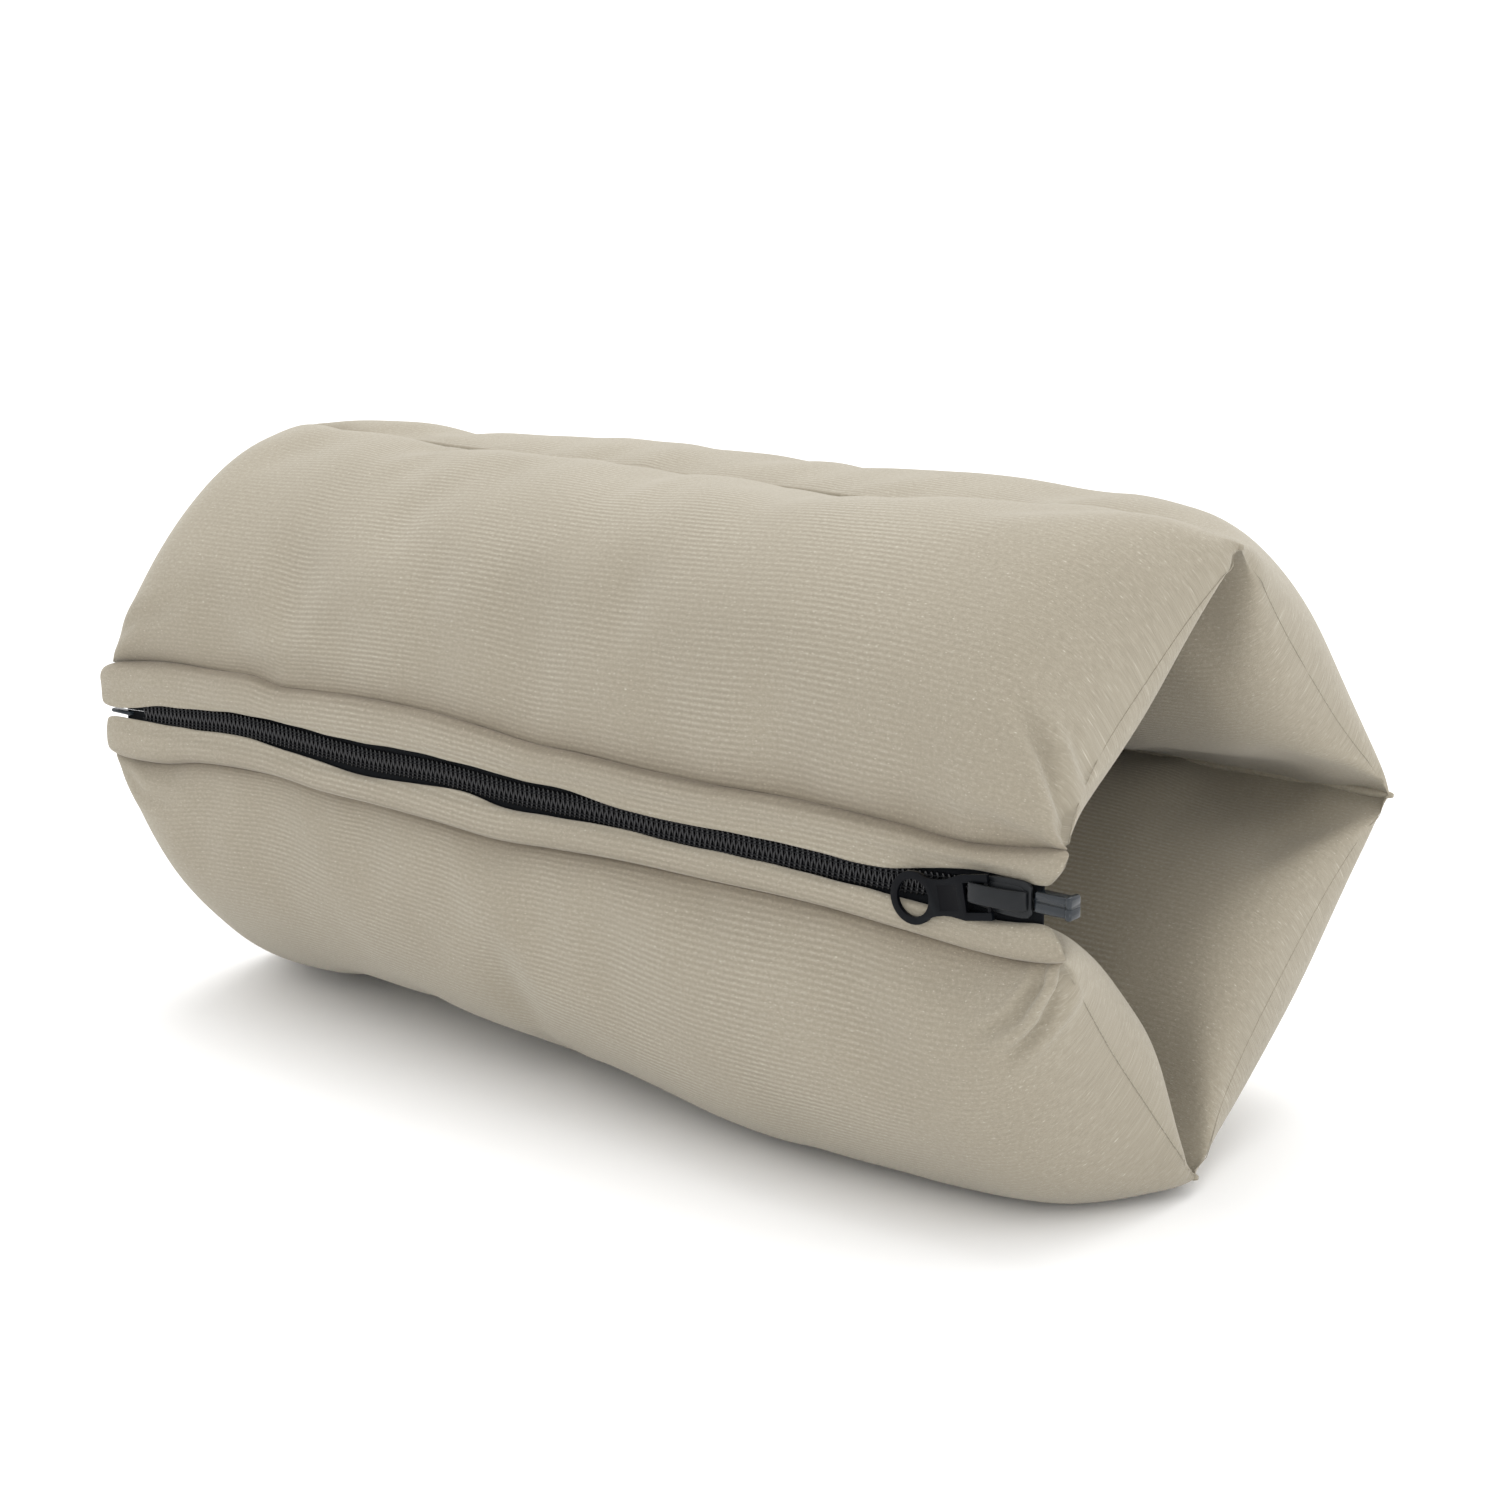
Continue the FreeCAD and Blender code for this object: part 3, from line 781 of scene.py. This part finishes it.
def prism(name, outline, low, high, place):
    """A closed outline raised from low to high; place(u, v, w) gives each point."""
    count = len(outline)
    vertices = [place(u, v, w) for w in (low, high) for u, v in outline]
    faces = [tuple(range(count))[::-1], tuple(range(count, 2 * count))]
    for j in range(count):
        k = (j + 1) % count
        faces.append((j, k, k + count, j + count))
    obj = mesh_object(name, vertices, faces, smooth=False)
    work = bmesh.new()
    work.from_mesh(obj.data)
    bmesh.ops.recalc_face_normals(work, faces=work.faces)
    work.to_mesh(obj.data)
    work.free()
    return obj


def on_zip(x, z, out):
    """A point x along, z above the zip line and out from the zip plane towards the front."""
    return (x, ZIP_Y - out, ZIP_Z + z)


def box_from(node, name, bevel, sunk):
    """A bevelled block in a CAD node's place, sunk back and down into its pocket of fabric."""
    low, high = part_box(node)
    back, down = sunk
    obj = prism(name, [(low.x, low.z), (high.x, low.z), (high.x, high.z + down), (low.x, high.z + down)],
                low.y + back, high.y, lambda u, v, w: (u, w, v))
    return bevelled(obj, bevel)


STOP_FLANGE = 1.8 * MM        # length of the stop's flange
STOP_ROOT = 0.4 * MM          # the barrel reaches this far into its flange
STOP_STEP = 0.35 * MM         # the flange stands this far past the barrel
STOP_DEPTHS = (0.5 * MM, 0.7 * MM)    # the barrel's front and rear behind and before the flange's
STOP_BEVELS = (0.7 * MM, 0.8 * MM)
STOP_SPLIT = 0.02 * MM
PIN_BEVEL = 0.35 * MM
PIN_SUNK = (0, -0.6 * MM)
BOX_BEVEL = 0.6 * MM
BOX_SUNK = (1.2 * MM, -1.6 * MM)


def rectangle(low, high, half):
    return [(low, -half), (high, -half), (high, half), (low, half)]


def keep_half(obj, side):
    """Cuts a piece along the zip line and keeps its upper (1) or lower (-1) half."""
    work = bmesh.new()
    work.from_mesh(obj.data)
    everything = work.verts[:] + work.edges[:] + work.faces[:]
    cut = bmesh.ops.bisect_plane(
        work, geom=everything, plane_co=(0, 0, ZIP_Z + side * STOP_SPLIT), plane_no=(0, 0, -side),
        clear_outer=True)
    rim = [item for item in cut["geom_cut"] if isinstance(item, bmesh.types.BMEdge)]
    bmesh.ops.edgeloop_fill(work, edges=rim)
    bmesh.ops.recalc_face_normals(work, faces=work.faces)
    work.to_mesh(obj.data)
    work.free()


def zip_ends(materials):
    """The moulded stop with its flange beside the slider, and the separating end."""
    for name, side in SIDES.items():
        node = "top_stop_" + name
        low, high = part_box(node)
        half = max(high.z - ZIP_Z, ZIP_Z - low.z)
        flange_x = high.x - STOP_FLANGE
        barrel = prism(
            "stop_barrel", rectangle(low.x, flange_x + STOP_ROOT, half - STOP_STEP),
            low.y + STOP_DEPTHS[0], high.y - STOP_DEPTHS[1], lambda u, v, w: (u, w, ZIP_Z + v))
        flange = prism(
            "stop_flange", rectangle(flange_x, high.x, half),
            low.y, high.y, lambda u, v, w: (u, w, ZIP_Z + v))
        bevelled(barrel, STOP_BEVELS[0], 4)
        bevelled(flange, STOP_BEVELS[1], 4)
        obj = join([barrel, flange], "moulded_stop_" + name)
        keep_half(obj, side)
        dress(obj, name + "_front", materials["stop"], "zip_end_plastic", node)
    pin = box_from("insertion_pin", "zip_insertion_pin", PIN_BEVEL, PIN_SUNK)
    dress(pin, "upper_front", materials["stop"], "zip_end_plastic", "insertion_pin")
    box = box_from("retaining_box", "zip_retaining_box", BOX_BEVEL, BOX_SUNK)
    dress(box, "lower_front", materials["stop"], "zip_end_plastic", "retaining_box")


# ---- slider and pull ----

def slider_outline(low, high, half):
    """Plan of a slider plate: rounded shoulders, a slim tail and a broad nose."""
    points = [(low + along * (high - low), width * half) for along, width in SLIDER_PLAN]
    return points + [(u, -v) for u, v in reversed(points)]


SLIDER_PLAN = [(0.0, 0.62), (0.06, 0.76), (0.2, 0.84), (0.42, 0.95), (0.6, 1.0), (0.85, 1.0),
               (0.95, 0.93), (1.0, 0.74)]    # shares of the plate's length and half width
RIM_SETBACK = 1.6 * MM        # the raised middle of the front plate, inside its ends
RIM_WIDTH_SHARE = 0.72
RIM_RISE = 0.22 * MM
# Side profile of the crown and of the gap under it: shares of its length and height
CROWN_OVER = [(0.00, 0.0), (0.01, 0.45), (0.05, 0.78), (0.13, 0.95), (0.3, 1.0), (0.55, 0.97),
              (0.75, 0.86), (0.9, 0.66), (1.0, 0.35), (1.0, 0.0)]
CROWN_UNDER = [(0.88, 0.0), (0.84, 0.22), (0.7, 0.46), (0.5, 0.56), (0.25, 0.60), (0.13, 0.56),
               (0.10, 0.36), (0.095, 0.0)]


def build_slider(materials):
    """Two lacquered plates, a raised rim, and a crown with room for the pull's pin under it."""
    low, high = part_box("slider_front_plate")
    half = (high.z - low.z) / 2
    parts = []
    for node in ("slider_front_plate", "slider_rear_plate"):
        plate_low, plate_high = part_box(node)
        plate = prism(node + "_cast", slider_outline(plate_low.x, plate_high.x, half),
                      ZIP_Y - plate_high.y, ZIP_Y - plate_low.y, on_zip)
        parts.append(bevelled(plate, 0.4 * MM))
    face = ZIP_Y - low.y
    rim = prism(
        "slider_rim", slider_outline(low.x + RIM_SETBACK, high.x - RIM_SETBACK, half * RIM_WIDTH_SHARE),
        face - 0.1 * MM, face + RIM_RISE, on_zip)
    parts.append(bevelled(rim, 0.15 * MM, 2))
    body = join(parts, "slider_plates")
    dress(body, "zip_slider", materials["slider"], "slider_lacquer",
          "slider_front_plate", "slider_rear_plate")
    low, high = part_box("slider_crown")
    profile = [(low.x + along * (high.x - low.x), ZIP_Y - high.y + rise * (high.y - low.y))
               for along, rise in CROWN_OVER + CROWN_UNDER]
    half = (high.z - low.z) / 2
    crown = prism("slider_crown_cast", profile, -half, half, lambda u, v, w: on_zip(u, w, v))
    bevelled(crown, 0.5 * MM, 4)
    dress(crown, "zip_slider", materials["slider"], "slider_lacquer", "slider_crown")


RING_X = -20.6 * MM           # ring centre, from the pin
RING_OUTER = 6.2 * MM
RING_HOLE = 4.4 * MM
FRAME_HALF = 5.2 * MM
WINDOW_HALF = 3.35 * MM
PULL_SAG = 0.7 * MM           # the pull hangs this far below the crown's middle


NECK_ANGLE = 48               # degrees either side of the neck where the ring's arc ends
PULL_NECK = [(-14.6, -4.25), (-12.6, -4.1), (-10.4, -4.3), (-8.4, -4.8), (-6.8, -5.2)]
FRAME_END = 0.6 * MM
WINDOW_SPAN = (-6.2 * MM, 2.0 * MM)
RECESS_SPAN = (-13.4 * MM, -8.2 * MM)
RECESS_HALF = 2.9 * MM
RECESS_FLOOR = 0.62           # its height as a share of the pull's half thickness
CROSS_PIN_RADIUS = 0.52 * MM


def pull_outline():
    """Plan of the pull from its ring to its frame, relative to the pin."""
    points = []
    for turn in np.radians(np.linspace(NECK_ANGLE, 360 - NECK_ANGLE, 25)):
        points.append((RING_X + RING_OUTER * math.cos(turn), RING_OUTER * math.sin(turn)))
    neck = [(u * MM, v * MM) for u, v in PULL_NECK] + [(FRAME_END, -FRAME_HALF)]
    return points + neck + [(u, -v) for u, v in reversed(neck)]


PULL_DROOP = math.radians(10.5)    # the loose pull hangs a little below the zip line


def build_pull(materials):
    """Flat pull: ring, waisted neck with a sunk panel, open frame and cross pin."""
    low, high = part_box("pull_tab")
    thick = (high.y - low.y) / 2

    def place(u, v, w):
        x = u * math.cos(PULL_DROOP) - v * math.sin(PULL_DROOP)
        z = u * math.sin(PULL_DROOP) + v * math.cos(PULL_DROOP)
        return (PIN_PLACE.x + x, PIN_PLACE.y - w, PIN_PLACE.z + z - PULL_SAG)

    tab = prism("pull", pull_outline(), -thick, thick, place)
    hole = [(RING_X + RING_HOLE * math.cos(a), RING_HOLE * math.sin(a))
            for a in np.linspace(0, 2 * math.pi, 32, endpoint=False)]
    cutters = [
        prism("hole", hole, -3 * thick, 3 * thick, place),
        prism("window", rectangle(*WINDOW_SPAN, WINDOW_HALF), -3 * thick, 3 * thick, place),
        prism("recess", rectangle(*RECESS_SPAN, RECESS_HALF), thick * RECESS_FLOOR, 3 * thick, place),
    ]
    for cutter in cutters:
        cut = tab.modifiers.new("cut", "BOOLEAN")
        cut.operation = "DIFFERENCE"
        cut.solver = "EXACT"
        cut.object = cutter
    apply_modifiers(tab)
    for cutter in cutters:
        bpy.data.objects.remove(cutter)
    bevelled(tab, 0.28 * MM)
    reach = WINDOW_HALF + 0.6 * MM
    pin = tube("pin", np.linspace(place(0, -reach, 0), place(0, reach, 0), 6), CROSS_PIN_RADIUS, sides=16)
    tab = join([tab, pin], "pull_tab_cast")
    return dress(tab, "zip_pull", materials["pull"], "pull_lacquer", "pull_tab")


# ---- materials ----

class Nodes:
    """Small helper to lay out one material's nodes."""

    def __init__(self, name):
        self.material = bpy.data.materials.new(name)
        self.material.use_nodes = True
        self.tree = self.material.node_tree
        self.shader = self.tree.nodes["Principled BSDF"]

    def add(self, kind, inputs=None, **settings):
        node = self.tree.nodes.new(kind)
        for key, value in settings.items():
            setattr(node, key, value)
        for key, value in (inputs or {}).items():
            self.feed(node.inputs[key], value)
        return node

    def feed(self, socket, value):
        if isinstance(value, bpy.types.NodeSocket):
            self.tree.links.new(value, socket)
        else:
            socket.default_value = value

    def math(self, operation, *values, **settings):
        node = self.add("ShaderNodeMath", operation=operation, **settings)
        for socket, value in zip(node.inputs, values):
            self.feed(socket, value)
        return node.outputs[0]

    def centred(self, value, amount, middle=0.5):
        """The value's swing about its middle, times an amount."""
        return self.math("MULTIPLY", self.math("SUBTRACT", value, middle), amount)

    def total(self, first, *others):
        for other in others:
            first = self.math("ADD", first, other)
        return first

    def attribute(self, name, output):
        return self.add("ShaderNodeAttribute", attribute_name=name).outputs[output]

    def weave(self):
        """The cloth's own coordinates in metres: all, along the roll and across it."""
        vector = self.attribute("weave", "Vector")
        split = self.add("ShaderNodeSeparateXYZ", {0: vector})
        return vector, split.outputs["X"], split.outputs["Y"]

    def place(self):
        return self.add("ShaderNodeTexCoord").outputs["Object"]

    def noise(self, vector, scale, detail=3.0, roughness=0.55):
        settings = {"Vector": vector, "Scale": scale, "Detail": detail, "Roughness": roughness}
        return self.add("ShaderNodeTexNoise", settings).outputs["Fac"]

    def stretch(self, vector, scale):
        return self.add("ShaderNodeVectorMath", {0: vector, 1: scale}, operation="MULTIPLY").outputs[0]

    def ramp(self, value, stops):
        node = self.add("ShaderNodeValToRGB", {"Fac": value})
        elements = node.color_ramp.elements
        while len(elements) < len(stops):
            elements.new(0.5)
        for element, (position, colour) in zip(elements, stops):
            element.position = position
            element.color = (*colour, 1.0)
        return node.outputs["Color"]

    def bump(self, height, strength, distance):
        settings = {"Height": height, "Strength": strength, "Distance": distance}
        return self.add("ShaderNodeBump", settings).outputs["Normal"]

    def fix(self, **inputs):
        """Sets or links the shader's sockets and gives the finished material."""
        for key, value in inputs.items():
            self.feed(self.shader.inputs[key.replace("_", " ")], value)
        return self.material


KNIT_DARK = (0.140, 0.117, 0.082)
KNIT_MIDDLE = (0.285, 0.253, 0.193)
KNIT_LIGHT = (0.52, 0.48, 0.40)
KNIT_SHEEN = (0.96, 0.93, 0.87, 1.0)
# Colour that the painted seam shade multiplies the knit by
PAINTED_SHADE_TINT = (0.46, 0.40, 0.33, 1.0)
RIB_WANDER = 0.7 * MM
RIB_TILT = 0.012              # the ribs' slope against the roll
RIBS_END = 0.155              # where they have faded out, from the roll's middle
STITCHES = (900.0, 2400.0, 1.0)       # the short dashes in each rib, per metre along and across
FLECKS = (1300.0, 2600.0, 1.0)
FLECK_START = 0.66


def knit_material():
    """Fine beige jersey: ribs along the roll, soft mottling, pale fibres, and painted shade beside the
    seams.
    """
    nodes = Nodes("knit_beige")
    weave, along, across = nodes.weave()
    wander = nodes.centred(nodes.noise(weave, 60.0), RIB_WANDER)
    rib_place = nodes.total(across, wander, nodes.math("MULTIPLY", along, RIB_TILT))
    rib = nodes.math("SINE", nodes.math("MULTIPLY", rib_place, 2 * math.pi / RIB_PITCH))
    dash = nodes.noise(nodes.stretch(weave, STITCHES), 1.0, 2.0, 0.6)
    fine = nodes.noise(weave, 3200.0, 3.0, 0.65)
    patchy = nodes.math("MULTIPLY_ADD", nodes.noise(weave, 38.0), 2.0, -0.45)
    strength = nodes.math(
        "MULTIPLY", nodes.math("MAXIMUM", patchy, 0.12), nodes.math("MULTIPLY_ADD", dash, 1.6, 0.1))
    to_end = nodes.math("SUBTRACT", RIBS_END, nodes.math("ABSOLUTE", along))
    fade = nodes.math("MULTIPLY", to_end, 1 / RIBS_FADE, use_clamp=True)
    ribbed = nodes.math("MULTIPLY", rib, nodes.math("MULTIPLY", strength, fade))
    height = nodes.total(ribbed, nodes.centred(dash, 2.6), nodes.centred(fine, 2.6))
    fleck = nodes.noise(nodes.stretch(weave, FLECKS), 1.0, 1.0, 0.4)
    fleck = nodes.math("MAXIMUM", nodes.math("SUBTRACT", fleck, FLECK_START), 0.0)
    tone = nodes.math("MULTIPLY_ADD", height, 0.075, 0.5)
    tone = nodes.total(
        nodes.math("MULTIPLY_ADD", ribbed, 0.06, tone),
        nodes.centred(nodes.noise(weave, 950.0, 2.0, 0.7), 0.34),
        nodes.centred(nodes.noise(weave, 16.0, 4.0), 0.16),
        nodes.math("MULTIPLY", fleck, 2.6))
    colour = nodes.ramp(tone, [(0.0, KNIT_DARK), (0.5, KNIT_MIDDLE), (1.0, KNIT_LIGHT)])
    # painted shade: the knit's colour darkened beside the seams
    shaded = nodes.add(
        "ShaderNodeMix", {"Factor": nodes.attribute("painted_seam_shade", "Fac"), 6: colour, 7: PAINTED_SHADE_TINT},
        data_type="RGBA", blend_type="MULTIPLY")
    return nodes.fix(
        Base_Color=shaded.outputs[2], Roughness=0.9, Sheen_Weight=0.25, Sheen_Roughness=0.5,
        Sheen_Tint=KNIT_SHEEN, Normal=nodes.bump(height, 0.55, 0.08 * MM))


TWILL_WIDTH = 3.2 * MM
TWILL_PITCH = 0.55 * MM
TWILL_SLOPE = 5.0


def tape_material():
    """Black woven polyester tape with a herringbone twill."""
    nodes = Nodes("zip_tape_black")
    weave, along, across = nodes.weave()
    stripe = nodes.math("FRACT", nodes.math("MULTIPLY", across, 1 / TWILL_WIDTH))
    zigzag = nodes.math("ABSOLUTE", nodes.math("SUBTRACT", stripe, 0.5))
    phase = nodes.total(
        nodes.math("MULTIPLY", along, 1 / TWILL_PITCH), nodes.math("MULTIPLY", zigzag, TWILL_SLOPE))
    twill = nodes.math("SINE", nodes.math("MULTIPLY", phase, 2 * math.pi))
    fuzz = nodes.noise(weave, 4000.0, 2.0)
    tone = nodes.math("MULTIPLY_ADD", twill, 0.25, nodes.math("MULTIPLY", fuzz, 0.9))
    colour = nodes.ramp(tone, [(0.0, (0.003, 0.003, 0.004)), (1.0, (0.014, 0.016, 0.018))])
    return nodes.fix(
        Base_Color=colour, Roughness=0.8, Sheen_Weight=0.015, Specular_IOR_Level=0.06,
        Normal=nodes.bump(twill, 0.5, 0.08 * MM))


def gloss_material(name, dark, light, roughness, spread, grain_scale, bump, shine):
    """Moulded plastic or lacquer with fine grain, uneven gloss and colour a little lighter on sharp edges.
    """
    nodes = Nodes(name)
    place = nodes.place()
    grain = nodes.noise(place, grain_scale, 4.0, 0.6)
    # colour a little lighter on sharp, convex edges, from the mesh's pointiness
    sharp_edges = nodes.add("ShaderNodeNewGeometry").outputs["Pointiness"]
    tone = nodes.total(
        nodes.math("MULTIPLY", nodes.noise(place, 160.0), 0.5), nodes.centred(sharp_edges, 3.0, 0.48))
    return nodes.fix(
        Base_Color=nodes.ramp(tone, [(0.15, dark), (1.0, light)]),
        Roughness=nodes.math("ADD", nodes.centred(grain, spread), roughness),
        Specular_IOR_Level=shine, Normal=nodes.bump(grain, 0.25, bump))


def thread_material():
    """Matt black twisted sewing thread."""
    nodes = Nodes("black_thread")
    twist = nodes.noise(nodes.place(), 5200.0, 2.0)
    colour = nodes.ramp(twist, [(0.3, (0.003, 0.003, 0.004)), (0.8, (0.015, 0.016, 0.018))])
    return nodes.fix(
        Base_Color=colour, Roughness=0.6, Specular_IOR_Level=0.15,
        Normal=nodes.bump(twist, 0.4, 0.03 * MM))


def build_materials():
    return {
        "knit": knit_material(),
        "tape": tape_material(),
        "thread": thread_material(),
        "coil": gloss_material("coil_nylon", (0.002, 0.002, 0.003), (0.011, 0.013, 0.016),
                               0.2, 0.12, 1800.0, 0.02 * MM, shine=0.45),
        "slider": gloss_material("slider_lacquer", (0.004, 0.005, 0.006), (0.020, 0.022, 0.025),
                                 0.38, 0.2, 2200.0, 0.03 * MM, shine=0.22),
        "pull": gloss_material("pull_lacquer", (0.001, 0.001, 0.002), (0.007, 0.009, 0.011),
                               0.32, 0.2, 2200.0, 0.03 * MM, shine=0.09),
        "stop": gloss_material("stop_plastic", (0.003, 0.005, 0.007), (0.026, 0.034, 0.043),
                               0.22, 0.12, 1500.0, 0.02 * MM, shine=0.45),
    }


# ---- scene ----

CAMERA_AZIMUTH = math.radians(39.4)
CAMERA_ELEVATION = math.radians(13.6)
CAMERA_DISTANCE = 0.838
CAMERA_OFFSET = (9.15 * MM, 3.43 * MM)
CAMERA_LENS = 76.1
AIM_SETBACK = 4.25 * MM       # the camera aims this far behind the middle of the top and bottom folds
FLOOR_HALF = 6.0
FLOOR_WHITE = (0.95, 0.95, 0.95, 1.0)
SURROUND = 1.25
# Soft lights: place, target, size and power
LIGHTS = {
    "key": ((-0.2, 0.40, 1.6), (0, 0, 0.08), (1.5, 1.2), 14),
    "front": ((1.25, -0.80, 0.36), (0.05, 0, 0.08), (0.9, 0.7), 2.4),
    "side": ((1.6, 0.1, 0.25), (-0.1, 0, 0.08), (0.8, 0.6), 1.0),
}


def build_camera():
    """The camera, aimed at the middle of the roll's section and then moved a little aside."""
    azimuth, elevation = CAMERA_AZIMUTH, CAMERA_ELEVATION
    back = Vector((
        math.sin(azimuth) * math.cos(elevation),
        -math.cos(azimuth) * math.cos(elevation),
        math.sin(elevation)))
    right = Vector((math.cos(azimuth), math.sin(azimuth), 0.0))
    up = back.cross(right)
    middle = (FOLD_TOP + FOLD_BOTTOM) / 2
    place = Vector((0.0, middle[0] + AIM_SETBACK, middle[1])) + back * CAMERA_DISTANCE
    place += right * CAMERA_OFFSET[0] + up * CAMERA_OFFSET[1]
    data = bpy.data.cameras.new("camera")
    data.lens = CAMERA_LENS
    data.sensor_width = 36.0
    data.clip_end = 20.0
    camera = link(bpy.data.objects.new("camera", data))
    camera.matrix_world = Matrix.Translation(place) @ Matrix((right, up, back)).transposed().to_4x4()
    bpy.context.scene.camera = camera


def area_light(name, place, target, size, power):
    data = bpy.data.lights.new(name, "AREA")
    data.shape = "RECTANGLE"
    data.size, data.size_y = size
    data.energy = power
    light = link(bpy.data.objects.new(name, data))
    turn = (Vector(target) - Vector(place)).to_track_quat("-Z", "Y")
    light.matrix_world = Matrix.Translation(place) @ turn.to_matrix().to_4x4()


def build_stage():
    """A pale seamless floor, soft lights and a white surround."""
    corners = [(-1, -1), (1, -1), (1, 1), (-1, 1)]
    floor = mesh_object(
        "floor", [(x * FLOOR_HALF, y * FLOOR_HALF, 0) for x, y in corners], [(0, 1, 2, 3)])
    nodes = Nodes("floor_white")
    grain = nodes.noise(nodes.place(), 30.0)
    floor.data.materials.append(nodes.fix(
        Base_Color=FLOOR_WHITE, Roughness=nodes.math("MULTIPLY_ADD", grain, 0.1, 0.75)))
    world = bpy.data.worlds.new("studio")
    world.use_nodes = True
    background = world.node_tree.nodes["Background"]
    background.inputs["Color"].default_value = (1, 1, 1, 1)
    background.inputs["Strength"].default_value = SURROUND
    bpy.context.scene.world = world
    bpy.context.scene.view_settings.view_transform = "Standard"
    for name, settings in LIGHTS.items():
        area_light(name, *settings)


# ---- assembly ----

materials = build_materials()
stuffed = build_channels(materials)
build_end_seams(stuffed, materials)
build_fold_seams(materials)
for half in SIDES:
    placket(half, materials)
    zip_tape(half, materials)
    zip_coil(half, materials)
zip_ends(materials)
build_slider(materials)
build_pull(materials)
build_camera()
build_stage()
